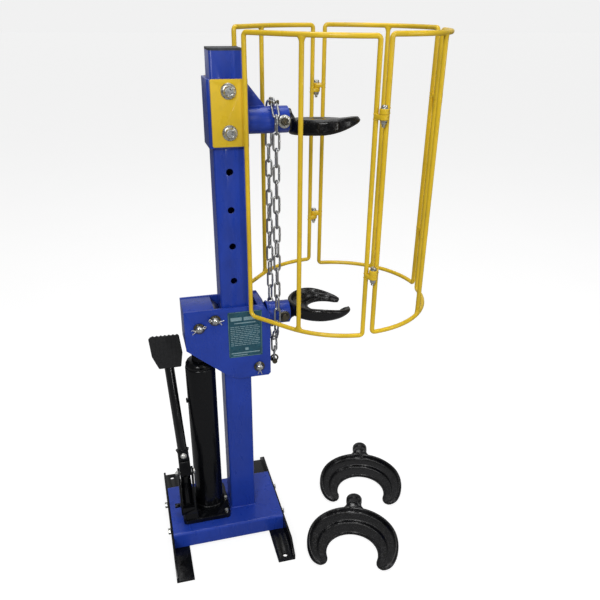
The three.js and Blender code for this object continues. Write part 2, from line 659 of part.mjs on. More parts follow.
function planAt(plan, distance) {
  let left = distance;
  for (let i = 0; i + 1 < plan.length; i++) {
    const run = plan[i].at.distanceTo(plan[i + 1].at);
    if (left <= run || i + 2 === plan.length) {
      const t = left / run;
      return {
        at: plan[i].at.clone().lerp(plan[i + 1].at, t),
        out: plan[i].out.clone().lerp(plan[i + 1].out, t).normalize(),
      };
    }
    left -= run;
  }
  return plan[0];
}

function planLength(plan) {
  let total = 0;
  for (let i = 0; i + 1 < plan.length; i++) total += plan[i].at.distanceTo(plan[i + 1].at);
  return total;
}

const WIRE_SIDES = 8;

// one bent-wire frame that follows the plan line, with an upright across the middle
function cagePanel(plan, { bottom, top, middle: middleFraction }) {
  const length = planLength(plan);
  const stops = [];
  let run = 0;
  for (let i = 0; i < plan.length; i++) {
    if (run > CAGE.corner + 1 && run < length - CAGE.corner - 1) stops.push(run);
    if (i + 1 < plan.length) run += plan[i].at.distanceTo(plan[i + 1].at);
  }
  const path = [];
  const corner = (s, z, fromDeg) => {
    for (let i = 0; i <= 2; i++) {
      const a = THREE.MathUtils.degToRad(fromDeg + 45 * i);
      path.push({ s: s + CAGE.corner * Math.cos(a), z: z + CAGE.corner * Math.sin(a), a });
    }
  };
  corner(CAGE.corner, bottom + CAGE.corner, 180);
  for (const s of stops) path.push({ s, z: bottom, a: -Math.PI / 2 });
  corner(length - CAGE.corner, bottom + CAGE.corner, 270);
  corner(length - CAGE.corner, top - CAGE.corner, 0);
  for (const s of [...stops].reverse()) path.push({ s, z: top, a: Math.PI / 2 });
  corner(CAGE.corner, top - CAGE.corner, 90);
  const rings = path.map(({ s, z, a }) => {
    const spot = planAt(plan, s);
    const sideways = point(0, 0, 1).cross(spot.out);
    const across = sideways.multiplyScalar(Math.cos(a)).addScaledVector(point(0, 0, 1), Math.sin(a));
    return ringAround(spot.at.clone().setZ(z), spot.out, across, CAGE.wire, WIRE_SIDES);
  });
  const middle = planAt(plan, length * middleFraction).at;
  return join(loft(rings, null), barZ(middle.x, middle.y, bottom, top, CAGE.wire, WIRE_SIDES));
}

// flat eye on an edge wire, reaching to the pivot line that stands outside the gap between panels
function eye(gapDeg, wireSide, z0) {
  const gap = THREE.MathUtils.degToRad(gapDeg);
  const out = point(Math.cos(gap), Math.sin(gap), 0);
  const along = point(-Math.sin(gap), Math.cos(gap), 0);
  const centre = point(CAGE.x, 0, 0).addScaledVector(out, CAGE.r + EYE.out);
  const wire = point(CAGE.x, 0, 0).addScaledVector(out, CAGE.r).addScaledVector(along, wireSide * CAGE.gapHalf);
  const z1 = z0 + EYE.thick;
  const reach = wire.clone().sub(centre);
  const sideways = point(-reach.y, reach.x, 0).normalize().multiplyScalar(3.6);
  const tongue = slab([
    [centre.x + sideways.x, centre.y + sideways.y], [wire.x + sideways.x, wire.y + sideways.y],
    [wire.x - sideways.x, wire.y - sideways.y], [centre.x - sideways.x, centre.y - sideways.y],
  ], 'z', z0, z1);
  return {
    body: join(barZ(centre.x, centre.y, z0, z1, EYE.r, SMALL), tongue),
    bore: barZ(centre.x, centre.y, z0 - 1, z1 + 1, EYE.bore, SMALL),
  };
}

function withEyes(panel, eyes) {
  return cut(join(panel, ...eyes.map((e) => e.body)), ...eyes.map((e) => e.bore));
}

function mirrorY(shape) {
  return toManifold(shape).mirror([0, 1, 0]);
}

const GAP_DEG = THREE.MathUtils.radToDeg(Math.asin(CAGE.gapHalf / CAGE.r));

function fixedPanel(heights) {
  const panel = cagePanel(rootedPlan(-90 - GAP_DEG, 6), heights);
  return withEyes(panel, HINGE_Z.map((z) => eye(-90, -1, z - EYE.thick - GAP / 2)));
}

function doorPanel(heights) {
  return cagePanel(arcPlan(-90 + GAP_DEG, -GAP_DEG, 8), heights);
}

// notch that lets the front door leave the closing bolt sideways
function openNotch(z0) {
  const x = CAGE.x + CAGE.r + EYE.out;
  return slab([[x - 4.2, -1], [x + 4.2, -1], [x + 20, 15], [x - 20, 15]], 'z', z0 - 1, z0 + EYE.thick + 1);
}

function buildCage() {
  piece('cage_panel_front_left', fixedPanel(PANEL.frontLeft), PAINT_YELLOW);
  piece('cage_panel_rear_left', mirrorY(fixedPanel(PANEL.rearLeft)), PAINT_YELLOW);
  const hingeEyes = HINGE_Z.map((z) => eye(-90, 1, z + GAP / 2));
  const frontLatch = LATCH_Z.map((z) => eye(0, -1, z - EYE.thick - GAP / 2));
  const rearLatch = LATCH_Z.map((z) => eye(0, -1, z + GAP / 2));
  const front = withEyes(doorPanel(PANEL.frontRight), [...hingeEyes, ...frontLatch]);
  const notches = LATCH_Z.map((z) => openNotch(z - EYE.thick - GAP / 2));
  piece('cage_door_front_right', cut(front, ...notches), PAINT_YELLOW);
  piece('cage_door_rear_right', mirrorY(withEyes(doorPanel(PANEL.rearRight), [...hingeEyes, ...rearLatch])), PAINT_YELLOW);
}

// bolt with hex head above and nut below the pair of eyes
function eyeBolt(x, y, z, loose) {
  const top = z + EYE.thick + GAP;
  const foot = z - EYE.thick - GAP - loose;
  const hex = hexRadius(10);
  return join(
    barZ(x, y, foot - 12, top + 1, HINGE_BOLT_R, SMALL),
    barZ(x, y, top, top + 1.5, 6.5, SMALL),
    barZ(x, y, top + 1, top + 5.5, hex, 6),
    barZ(x, y, foot - 6.5, foot - 1, hex, 6),
    barZ(x, y, foot - 1.5, foot, 6.5, SMALL),
  );
}

function buildCageBolts() {
  const pivot = CAGE.r + EYE.out;
  const label = ['lower', 'upper'];
  HINGE_Z.forEach((z, k) => {
    piece(`front_hinge_bolt_${label[k]}`, eyeBolt(CAGE.x, -pivot, z, 0), ZINC);
    piece(`rear_hinge_bolt_${label[k]}`, eyeBolt(CAGE.x, pivot, z, 0), ZINC);
  });
  LATCH_Z.forEach((z, k) => piece(`latch_bolt_${label[k]}`, eyeBolt(CAGE.x + pivot, 0, z, 0.4), ZINC));
}

// ---------------------------------------------------------------- safety chain
function buildChain() {
  const side = [
    point(CHAIN.x, 4, CHAIN.joinZ),
    point(CHAIN.x, CHAIN.side * 0.5, CHAIN.joinZ + 18),
    point(CHAIN.x, CHAIN.side, CHAIN.joinZ + 42),
    point(CHAIN.x, CHAIN.side, ARM.upperZ - 30),
  ];
  const over = [];
  const steps = 10;
  for (let k = 0; k <= steps; k++) {
    const a = (Math.PI * k) / steps;
    over.push(point(CHAIN.x, CHAIN.side * Math.cos(a), ARM.upperZ + CHAIN.side * Math.sin(a)));
  }
  const back = side.map((p) => point(p.x, -p.y, p.z)).reverse();
  const loop = bentBar([...side, ...over, ...back], point(1, 0, 0), CHAIN.wireR, 8);
  const tail = barZ(CHAIN.x, 0, CHAIN.endZ, CHAIN.joinZ + 2, CHAIN.wireR, 8);
  const knot = new THREE.SphereGeometry(7.5, 10, 8);
  knot.translate(CHAIN.x, 0, CHAIN.joinZ + 1);
  piece('safety_chain', join(loop, tail, knot), ZINC);
}

// ---------------------------------------------------------------- pump and pedal
function buildPumpBarrel() {
  const y = PUMP.pistonY;
  const low = 70.3;
  const barrel = join(
    barZ(PUMP.x, y, low, PUMP.barrelTop - 14, PUMP.barrelR, ROUND),
    barZ(PUMP.x, y, PUMP.barrelTop - 16, PUMP.barrelTop, hexRadius(24), 6),
  );
  const ear = (side) => {
    const inside = PUMP.x + side * PUMP.earInner;
    const outside = PUMP.x + side * PUMP.earOuter;
    return slab([
      [-66, 96], [-50, 92], [-44, 120], [-47, 212], [-52, 216], [-62, 216], [-67, 210],
    ], 'x', Math.min(inside, outside), Math.max(inside, outside));
  };
  const foot = block(PUMP.x - PUMP.earOuter, PUMP.x + PUMP.earOuter, -66, -34, 84.4, 104);
  const tools = [
    barX(PUMP.x - 30, PUMP.x + 30, PIVOT.y, PIVOT.z, PIVOT.r + GAP, SMALL),
    barZ(PUMP.x, y, 120, PUMP.barrelTop + 2, 5.4, SMALL),
  ];
  piece('pump_barrel', cut(join(barrel, ear(-1), ear(1), foot), ...tools), PAINT_BLACK);
}

function buildReleaseValve() {
  const face = RAM_BLOCK.left;
  piece('release_valve_screw', join(
    barX(face - 15, face + VALVE.depth, VALVE.y, VALVE.z, VALVE.r, SMALL),
    barX(face - 16, face - 5, VALVE.y, VALVE.z, 5.5, SMALL),
    barX(face - 4, face + 1.9, VALVE.y, VALVE.z, hexRadius(12), 6),
  ), BARE_STEEL);
}

function leverPoint(side, out, along) {
  const lean = THREE.MathUtils.degToRad(LEVER.lean);
  return point(
    PUMP.x + side,
    PIVOT.y + out * Math.cos(lean) + along * Math.sin(lean),
    PIVOT.z - out * Math.sin(lean) + along * Math.cos(lean),
  );
}

// moves a solid built in lever coordinates (side, out, along) onto the leaning lever
function ontoLever(shape) {
  return toManifold(shape).rotate([-LEVER.lean, 0, 0]).translate([PUMP.x, PIVOT.y, PIVOT.z]);
}

const PISTON_PIN = { out: 13.2, along: 10.7, r: 3, fromPivotY: 16.0, fromPivotZ: 5.8 };

function buildPedalSocket() {
  const cheek = (side) => {
    const [x0, x1] = side < 0 ? [-12.5, -7.5] : [7.5, 12.5];
    return slab([
      [-8, -3], [-3, -8.5], [4, -8], [18, 3], [21, 10], [21, 32], [-4, 32], [-9, 4],
    ], 'x', x0, x1);
  };
  const out = LEVER.axisOut;
  const bridge = block(-12.5, 12.5, out - 12.5, out + 12.5, 24.5, 33);
  const tube = bar(point(0, out, 30), leanEnd(52), LEVER.socketR, ROUND);
  const collar = bar(leanEnd(46), leanEnd(53), LEVER.socketR, ROUND, 15.5);
  const crossPin = barX(-9, 9, PISTON_PIN.out, PISTON_PIN.along, PISTON_PIN.r, SMALL);
  const bore = bar(leanEnd(35), leanEnd(60), LEVER.armR + GAP, ROUND);
  const solidPart = cut(join(cheek(-1), cheek(1), bridge, tube, collar), bore,
    barX(-20, 20, 0, 0, PIVOT.r + GAP, SMALL));
  piece('pedal_socket', ontoLever(join(solidPart, crossPin)), PAINT_BLACK);
}

// point on the arm's own line, which also leans a little to the side
function leanEnd(along) {
  const slope = Math.tan(THREE.MathUtils.degToRad(LEVER.side));
  return point(slope * (along - 30), LEVER.axisOut, along);
}

function buildPedalArm() {
  const arm = bar(leanEnd(35.4), leanEnd(250), LEVER.armR, ROUND);
  piece('pedal_arm', ontoLever(arm), PAINT_BLACK);
}

// ribbed foot plate: square shoulders above, tapering down to the arm
function buildPedalPad() {
  const foot = 249;
  const head = foot + 74;
  const shape = slab([
    [-22, foot], [22, foot], [32.5, foot + 30], [32.5, head - 3], [29.5, head], [-29.5, head], [-32.5, head - 3],
    [-32.5, foot + 30],
  ], 'y', -7, 3);
  const ribs = [];
  for (let k = 0; k < 9; k++) {
    const x = -28 + k * 7;
    ribs.push(block(x - 1.6, x + 1.6, -9.2, -6, foot + 34, head - 4));
  }
  const padX = leanEnd(foot + 36).x - 1.5;
  const tilt = toManifold(join(shape, ...ribs)).translate([padX, LEVER.axisOut - LEVER.armR - 3.3, 0]);
  piece('pedal_pad', ontoLever(tilt), DARK_RUBBER);
}

function buildPumpPiston() {
  const y = PUMP.pistonY;
  const pinY = PIVOT.y + PISTON_PIN.fromPivotY;
  const pinZ = PIVOT.z + PISTON_PIN.fromPivotZ;
  const stem = barZ(PUMP.x, y, 136, pinZ - 4, 5, SMALL);
  const head = barX(PUMP.x - 6, PUMP.x + 6, y, pinZ, 8, SMALL);
  const slot = join(
    barX(PUMP.x - 8, PUMP.x + 8, pinY - 0.8, pinZ, PISTON_PIN.r + 0.9, SMALL),
    barX(PUMP.x - 8, PUMP.x + 8, pinY + 1.4, pinZ, PISTON_PIN.r + 0.9, SMALL),
  );
  piece('pump_piston', cut(join(stem, head), slot), BARE_STEEL);
}

function buildPivotPin() {
  const end = PUMP.earOuter + 0.2;
  piece('pedal_pivot_pin', join(
    barX(PUMP.x - end - 4, PUMP.x + end + 3, PIVOT.y, PIVOT.z, PIVOT.r, SMALL),
    barX(PUMP.x + end, PUMP.x + end + 4, PIVOT.y, PIVOT.z, 6.5, SMALL),
    barX(PUMP.x - end - 3, PUMP.x - end, PIVOT.y, PIVOT.z, 6, SMALL),
  ), ZINC);
}

// ---------------------------------------------------------------- assembly
buildTray();
buildFoot(-1);
buildFoot(1);
for (const side of [-1, 1]) for (const which of [0, 1]) buildFootBolt(side, which);
buildPost();
buildPostCap();
buildSleeve();
buildUpperArm();
buildCagePlate(-1);
buildCagePlate(1);
buildSleeveBolt(0);
buildSleeveBolt(1);
buildRamBlock();
buildRamBaseBolt(0);
buildRamBaseBolt(1);
buildRamCylinder();
buildRamGland();
buildFillerPlug();
buildRamRod();
buildCarriagePlate(-1);
buildCarriagePlate(1);
buildCarriageWebs();
buildCarriagePin('ram_clevis_pin', CLEVIS_PIN);
buildCarriagePin('upper_roller_pin', UPPER_ROLLER_PIN);
buildCarriagePin('lower_roller_pin', LOWER_ROLLER_PIN);
buildRoller('upper_roller', UPPER_ROLLER_PIN);
buildRoller('lower_roller', LOWER_ROLLER_PIN);
buildLabel();
buildLowerArm();
buildLockBolt('upper_lock_bolt', ARM.upperZ);
buildLockBolt('lower_lock_bolt', ARM.lowerZ);
buildMachineYokes();
buildSpareYoke('rear_spare_yoke', REAR_SPARE);
buildSpareYoke('front_spare_yoke', FRONT_SPARE);
buildCage();
buildCageBolts();
buildChain();
buildPumpBarrel();
buildReleaseValve();
buildPedalSocket();
buildPedalArm();
buildPedalPad();
buildPumpPiston();
buildPivotPin();

// the row frame has its origin at the bottom centre of the whole object
function centreOnFloor() {
  const bounds = new THREE.Box3().setFromObject(group);
  const middle = bounds.getCenter(point(0, 0, 0));
  for (const mesh of group.children) mesh.geometry.translate(-middle.x, -middle.y, -bounds.min.z);
}
centreOnFloor();

export default group;
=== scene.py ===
"""Coil spring compressor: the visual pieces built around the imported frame.

Sizes and places below are millimetres, with the post's axis at x = y = 0 and the floor at z = 0.
X runs from the post towards the cage and Y away from the front of the machine.
"""
import random
from math import acos, asin, atan2, cos, degrees, hypot, pi, radians, sin, sqrt, tan

import bmesh
import bpy
from mathutils import Matrix, Vector
from mathutils.geometry import convex_hull_2d


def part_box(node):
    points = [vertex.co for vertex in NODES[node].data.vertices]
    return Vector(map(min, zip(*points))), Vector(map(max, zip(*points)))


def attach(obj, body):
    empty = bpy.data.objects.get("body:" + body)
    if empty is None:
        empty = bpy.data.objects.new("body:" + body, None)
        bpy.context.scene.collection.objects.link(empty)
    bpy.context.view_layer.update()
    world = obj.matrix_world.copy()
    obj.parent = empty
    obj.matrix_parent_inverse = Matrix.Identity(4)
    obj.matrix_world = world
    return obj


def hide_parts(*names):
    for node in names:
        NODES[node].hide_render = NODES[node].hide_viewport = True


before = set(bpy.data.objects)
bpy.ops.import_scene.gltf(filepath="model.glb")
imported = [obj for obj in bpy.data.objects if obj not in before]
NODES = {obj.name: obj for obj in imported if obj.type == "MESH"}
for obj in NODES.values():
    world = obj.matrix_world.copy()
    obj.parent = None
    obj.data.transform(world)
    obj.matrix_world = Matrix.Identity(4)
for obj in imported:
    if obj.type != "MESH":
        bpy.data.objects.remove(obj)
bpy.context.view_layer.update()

MM = 0.001
POST_LOW, POST_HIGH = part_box("post")
ORIGIN = Vector(((POST_LOW.x + POST_HIGH.x) / 2, (POST_LOW.y + POST_HIGH.y) / 2, 0))

# ---- sizes
SHEET = 5.0
TRAY = {"left": -178, "right": 88, "half": 87, "bottom": 5, "top": 47, "bend": 7}
FOOT_BOLT_Y = (-48, 45)
FOOT_BOLT_Z = 25
SLEEVE_BOLT_X = 0.3
SLEEVE_BOLT_Z = (954.5, 1026.5)
PLATE_FACE = 42.5
ARM_R = 25
ARM_Z = {"upper": 969, "lower": 561}
ARM_ROOT = {"upper": 37.5, "lower": 72}
LOCK_X = 107
RAM = {"x": -80, "r": 33.2, "bore": 24, "bottom": 59, "top": 452, "plug_z": 362}
BLOCK_BOLTS = ((-45, -50), (-40.6, -5))
BLOCK_TOP = 59
CARRIAGE_FACE = 40
PINS = {"ram_clevis_pin": (-80, 561), "upper_roller_pin": (-46, 576), "lower_roller_pin": (46, 452)}
CAGE = {"x": 236, "r": 188, "wire": 4.5, "corner": 6.5, "root_corner": 13, "gap": 10, "rear_gap": 13}
PANELS = {  # bottom, top, and how far along its width the middle upright stands
    "cage_panel_front_left": (582, 1122, 0.478),
    "cage_panel_rear_left": (604, 1127, 0.43),
    "cage_door_front_right": (586, 1125, 0.5),
    "cage_door_rear_right": (592, 1128, 0.5),
}
CAGE_AXIS = Vector((CAGE["x"], 0, 0))
CAGE_ROOT = (29.5, 47.6)
EYE = {"out": 10, "r": 8.2, "thick": 9}
HINGE_Z = (714, 1003)
LATCH_Z = (719, 1000)
CHAIN = {"x": 89.5, "side": 33.5, "arch": 36, "join": 494, "end": 433,
         "wire": 2.2, "pitch": 30.5, "half": 5.7}
MACHINE_YOKE = {"inner": 42, "outer": 73, "inner_x": 210, "outer_x": 196, "half": 141, "rise": 5,
                "neck": 122.6, "spigot": 86, "base": -5}
SPARE_YOKE = {"inner": 61, "outer": 110, "inner_x": 212, "outer_x": 188, "half": 121, "rise": 0,
              "neck": 74, "spigot": 42, "base": -20.6}
YOKE_BODY = {"rim": 29, "seat": 15, "wall": 11}
UPPER_YOKE_TILT = 4.5
SPARE_PLACES = {"rear_spare_yoke": (328.6, 12, 71), "front_spare_yoke": (236, -185, 69)}
SPIGOT_R = 20.6
PUMP = {"x": -136, "y": -40.5, "top": 168}
PIVOT = (-136, -57, 205)
LEVER_LEAN = 19
LEVER_SIDE = -2.6
LEVER_OUT = 8.5
ARM_BAR_R = 10.8
PAD_FOOT = 249
PAD_HEAD = 323
PAD_FACE = -7


def place(p):
    """a point given in millimetres from the post's foot, in the frame's metres"""
    return ORIGIN + Vector(p) * MM


CAMERA = {"at": (-192.9, -1224.7, 1165.2), "yaw": -15.637, "down": 27.304, "roll": 0.693,
          "lens": 37.858, "sensor": 36, "shift": 0.05}
LAMPS = (
    ("key", (-1.4, -2.7, 2.5), 0.5, (1.2, 1.2), 54),
    ("strip", (1.0, -2.4, 1.5), 0.5, (0.18, 1.8), 12),
    ("fill", (2.6, -1.6, 1.4), 0.5, (0.7, 2.0), 12),
    ("top", (0.1, 0.4, 3.2), 0.4, (2.0, 2.0), 38),
)
FLOOR_HALF = 30.0
FLOOR_GLOW = 0.795
SKY = 0.88

RIGHT, BACK, UP = (1, 0, 0), (0, 1, 0), (0, 0, 1)
FRONT, DOWN = (0, -1, 0), (0, 0, -1)


# ---- mesh building
def rect(x0, x1, y0, y1):
    return [(x0, y0), (x1, y0), (x1, y1), (x0, y1)]


def wheel(centre, u, v, radius, count):
    """points evenly spread round a circle"""
    angles = [2 * pi * k / count for k in range(count)]
    return [centre + (u * cos(a) + v * sin(a)) * radius for a in angles]


class Shell:
    """closed shells gathered into one mesh, each face with a material number"""

    def __init__(self):
        self.points = []
        self.faces = []
        self.slots = []

    def add(self, points, faces, slot=0):
        base = len(self.points)
        self.points.extend(Vector(p) for p in points)
        self.faces.extend([base + i for i in face] for face in faces)
        self.slots.extend([slot] * len(faces))

    def skin(self, rings, closed=False, slot=0):
        """skin through rings of points; a ring of one point is a pole, other open ends are capped"""
        starts, points, faces = [], [], []
        for ring in rings:
            starts.append(len(points))
            points.extend(ring)
        pairs = list(zip(range(len(rings) - 1), range(1, len(rings))))
        if closed:
            pairs.append((len(rings) - 1, 0))
        for i, j in pairs:
            a, b, n, m = starts[i], starts[j], len(rings[i]), len(rings[j])
            for k in range(max(n, m)):
                following = (k + 1) % max(n, m)
                if n == 1:
                    faces.append([a, b + following, b + k])
                elif m == 1:
                    faces.append([a + k, a + following, b])
                else:
                    faces.append([a + k, a + following, b + following, b + k])
        if not closed:
            if len(rings[0]) > 2:
                faces.append([starts[0] + k for k in range(len(rings[0]))][::-1])
            if len(rings[-1]) > 2:
                faces.append([starts[-1] + k for k in range(len(rings[-1]))])
        self.add(points, faces, slot)

    def turned(self, origin, direction, profile, sides=32, slot=0):
        """turned solid: profile is (radius, distance along); one that ends where it starts is a ring"""
        u, v, w = axes_for(direction)
        rings = []
        for radius, along in profile:
            centre = Vector(origin) + w * along
            if radius < 1e-6:
                rings.append([centre])
                continue
            rings.append(wheel(centre, u, v, radius, sides))
        closed = profile[0] == profile[-1]
        self.skin(rings[:-1] if closed else rings, closed, slot)

    def tube(self, line, radius, sides=12, closed=False, slot=0):
        """round bar along a line of points; radius is a number or one number for each point"""
        line = [Vector(p) for p in line]
        count = len(line)
        radii = radius if isinstance(radius, list) else [radius] * count
        tangents = []
        for i in range(count):
            before = line[i - 1] if (i > 0 or closed) else line[0]
            after = line[(i + 1) % count] if (i + 1 < count or closed) else line[-1]
            tangents.append((after - before).normalized())
        u = axes_for(tangents[0])[0]
        rings = []
        for p, t, r in zip(line, tangents, radii):
            u = (u - t * u.dot(t)).normalized()
            v = t.cross(u)
            rings.append(wheel(p, u, v, r, sides))
        if closed:
            rings = untwist(rings)
        self.skin(rings, closed, slot)

    def prism(self, outline, axis, low, high, chamfer=0.0, slot=0):
        """flat outline thickened along an axis; 'x' outlines are (y, z), 'y' (x, z) and 'z' (x, y)"""
        centre_a = sum(p[0] for p in outline) / len(outline)
        centre_b = sum(p[1] for p in outline) / len(outline)

        def ring(at, inset):
            made = []
            for a, b in outline:
                reach = max(hypot(a - centre_a, b - centre_b), 1e-6)
                keep = 1 - inset / reach
                pa, pb = centre_a + (a - centre_a) * keep, centre_b + (b - centre_b) * keep
                made.append({"x": (at, pa, pb), "y": (pa, at, pb), "z": (pa, pb, at)}[axis])
            return made
        if chamfer:
            stations = ((low, chamfer), (low + chamfer, 0), (high - chamfer, 0), (high, chamfer))
        else:
            stations = ((low, 0), (high, 0))
        self.skin([ring(at, inset) for at, inset in stations], slot=slot)

    def hexagon(self, origin, direction, flats, height, slot=0, turn=0.0, chamfer=1.2):
        """bolt head or nut with its corners turned down at the outer end"""
        u, v, w = axes_for(direction)
        corner, flat = flats / sqrt(3), flats / 2

        def ring(along, limit):
            made = []
            for k in range(24):
                a = 2 * pi * k / 24 + turn
                reach = min(limit, flat / cos(abs(pi / 6 - (k % 4) * pi / 12)))
                made.append(Vector(origin) + w * along + (u * cos(a) + v * sin(a)) * reach)
            return made
        self.skin([ring(0, corner), ring(height - chamfer, corner), ring(height, flat * 0.96)], slot=slot)

    def moved(self, matrix):
        self.points = [matrix @ p for p in self.points]


def axes_for(direction):
    w = Vector(direction).normalized()
    side = Vector((0, 0, 1)) if abs(w.z) < 0.9 else Vector((1, 0, 0))
    u = side.cross(w).normalized()
    return u, w.cross(u), w


def untwist(rings):
    """turns each ring a little, so that the last one meets the first in a closed tube"""
    first, last = rings[0], rings[-1]
    count = len(first)

    def gap(shift):
        return sum((last[(k + shift) % count] - first[k]).length for k in range(count))
    best = min(range(count), key=gap)
    if best == 0:
        return rings
    made = []
    for i, ring in enumerate(rings):
        shift = best * i / (len(rings) - 1)
        whole, part = int(shift), shift - int(shift)
        turned = ring[whole:] + ring[:whole + 1]
        made.append([a.lerp(b, part) for a, b in zip(turned, turned[1:])])
    return made


def rounded(outline, radius, steps=5):
    """closed flat outline with each corner turned into an arc"""
    made = []
    count = len(outline)
    for i in range(count):
        here = Vector(outline[i])
        back = Vector(outline[i - 1]) - here
        ahead = Vector(outline[(i + 1) % count]) - here
        r = radius[i] if isinstance(radius, (list, tuple)) else radius
        half = back.angle(ahead) / 2
        if r <= 0 or half > pi / 2 - 0.02:
            made.append(tuple(here))
            continue
        reach = min(r / tan(half), back.length * 0.49, ahead.length * 0.49)
        start, end = here + back.normalized() * reach, here + ahead.normalized() * reach
        for k in range(steps + 1):
            t = k / steps
            p = start * (1 - t) ** 2 + here * (2 * t * (1 - t)) + end * t ** 2
            made.append((p.x, p.y))
    return made


def circle_line(centre, direction, radius, count, start=0.0, sweep=2 * pi):
    u, v, _ = axes_for(direction)
    closed = abs(sweep - 2 * pi) < 1e-6
    steps = count if closed else count - 1
    angles = [start + sweep * k / steps for k in range(count)]
    return [Vector(centre) + (u * cos(a) + v * sin(a)) * radius for a in angles]


def spaced(line, step):
    """the same line with points about one step apart"""
    line = [Vector(p) for p in line]
    made = [line[0]]
    for a, b in zip(line, line[1:]):
        pieces = max(1, round((b - a).length / step))
        made.extend(a.lerp(b, k / pieces) for k in range(1, pieces + 1))
    return made


WELD_STEP = 1.3


def bead(shell, line, radius, seed, closed=False):
    """weld bead: a rippled round bead that wanders a little along its line"""
    rng = random.Random(seed)
    points = spaced(line + [line[0]] if closed else line, WELD_STEP)
    if closed:
        points.pop()
    wander = rng.uniform(0, 6)
    radii = []
    for k in range(len(points)):
        ripple = 0.16 * abs(sin(k * 0.9)) + 0.07 * sin(k * 0.11 + wander)
        radii.append(radius * (0.86 + ripple + rng.uniform(-0.03, 0.03)))
    shell.tube(points, radii, 10, closed)


def thread(radius, low, high, pitch=1.25):
    """profile of a threaded stretch"""
    profile = [(radius * 0.82, low)]
    at = low
    while at + pitch < high:
        profile += [(radius * 0.86, at + pitch * 0.25), (radius, at + pitch * 0.75)]
        at += pitch
    return profile + [(radius * 0.82, high)]


SMOOTH_LIMIT = radians(38)


def smooth_group():
    """geometry nodes that shade smooth and keep edges above the limit sharp"""
    group = bpy.data.node_groups.new("smooth_by_angle", "GeometryNodeTree")
    group.interface.new_socket("Geometry", in_out="INPUT", socket_type="NodeSocketGeometry")
    group.interface.new_socket("Geometry", in_out="OUTPUT", socket_type="NodeSocketGeometry")
    new, join = group.nodes.new, group.links.new
    source = new("NodeGroupInput")
    target = new("NodeGroupOutput")
    faces = new("GeometryNodeSetShadeSmooth")
    edges = new("GeometryNodeSetShadeSmooth")
    edges.domain = "EDGE"
    edges.inputs["Shade Smooth"].default_value = False
    angle = new("GeometryNodeInputMeshEdgeAngle")
    compare = new("FunctionNodeCompare")
    compare.operation = "GREATER_THAN"
    compare.inputs[1].default_value = SMOOTH_LIMIT
    join(source.outputs[0], faces.inputs["Geometry"])
    join(faces.outputs[0], edges.inputs["Geometry"])
    join(angle.outputs["Unsigned Angle"], compare.inputs[0])
    join(compare.outputs[0], edges.inputs["Selection"])
    join(edges.outputs[0], target.inputs[0])
    return group


SMOOTH = smooth_group()


def soften(obj, bevel):
    """rounds the hard edges by the given millimetres and shades by angle"""
    if bevel:
        edge = obj.modifiers.new("edges", "BEVEL")
        edge.width = bevel * MM
        edge.segments = 2
        edge.limit_method = "ANGLE"
        edge.angle_limit = SMOOTH_LIMIT
        edge.use_clamp_overlap = True
        edge.miter_outer = "MITER_ARC"
    obj.modifiers.new("shade", "NODES").node_group = SMOOTH


def linked(name, data):
    """a new object in the scene"""
    obj = bpy.data.objects.new(name, data)
    bpy.context.scene.collection.objects.link(obj)
    return obj


def build(name, shell, materials, body, replaces=(), bevel=0.0):
    """makes one visual piece from a shell and rides it on its body"""
    materials = materials if isinstance(materials, list) else [materials]
    mesh = bpy.data.meshes.new(name)
    mesh.from_pydata([place(p) for p in shell.points], [], shell.faces)
    for material in materials:
        mesh.materials.append(material)
    mesh.polygons.foreach_set("material_index", shell.slots)
    work = bmesh.new()
    work.from_mesh(mesh)
    bmesh.ops.recalc_face_normals(work, faces=work.faces)
    work.to_mesh(mesh)
    work.free()
    obj = linked(name, mesh)
    soften(obj, bevel)
    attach(obj, body)
    if replaces:
        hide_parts(*replaces)
    return obj


def dress(node, material, bevel=0.0):
    """keeps a CAD node: welds its split corners, rounds its edges and gives it a material"""
    obj = NODES[node]
    obj.data.materials.clear()
    obj.data.materials.append(material)
    if "custom_normal" in obj.data.attributes:
        obj.data.attributes.remove(obj.data.attributes["custom_normal"])
    weld = obj.modifiers.new("weld", "WELD")
    weld.merge_threshold = 0.005 * MM
    flat = obj.modifiers.new("flat", "DECIMATE")
    flat.decimate_type = "DISSOLVE"
    flat.angle_limit = radians(0.4)
    soften(obj, bevel)


# ---- materials
def rgb(red, green, blue):
    """linear colour from 0-255 display values"""
    shares = (red / 255, green / 255, blue / 255)
    return tuple(((c + 0.055) / 1.055) ** 2.4 if c > 0.04 else c / 12.92 for c in shares)


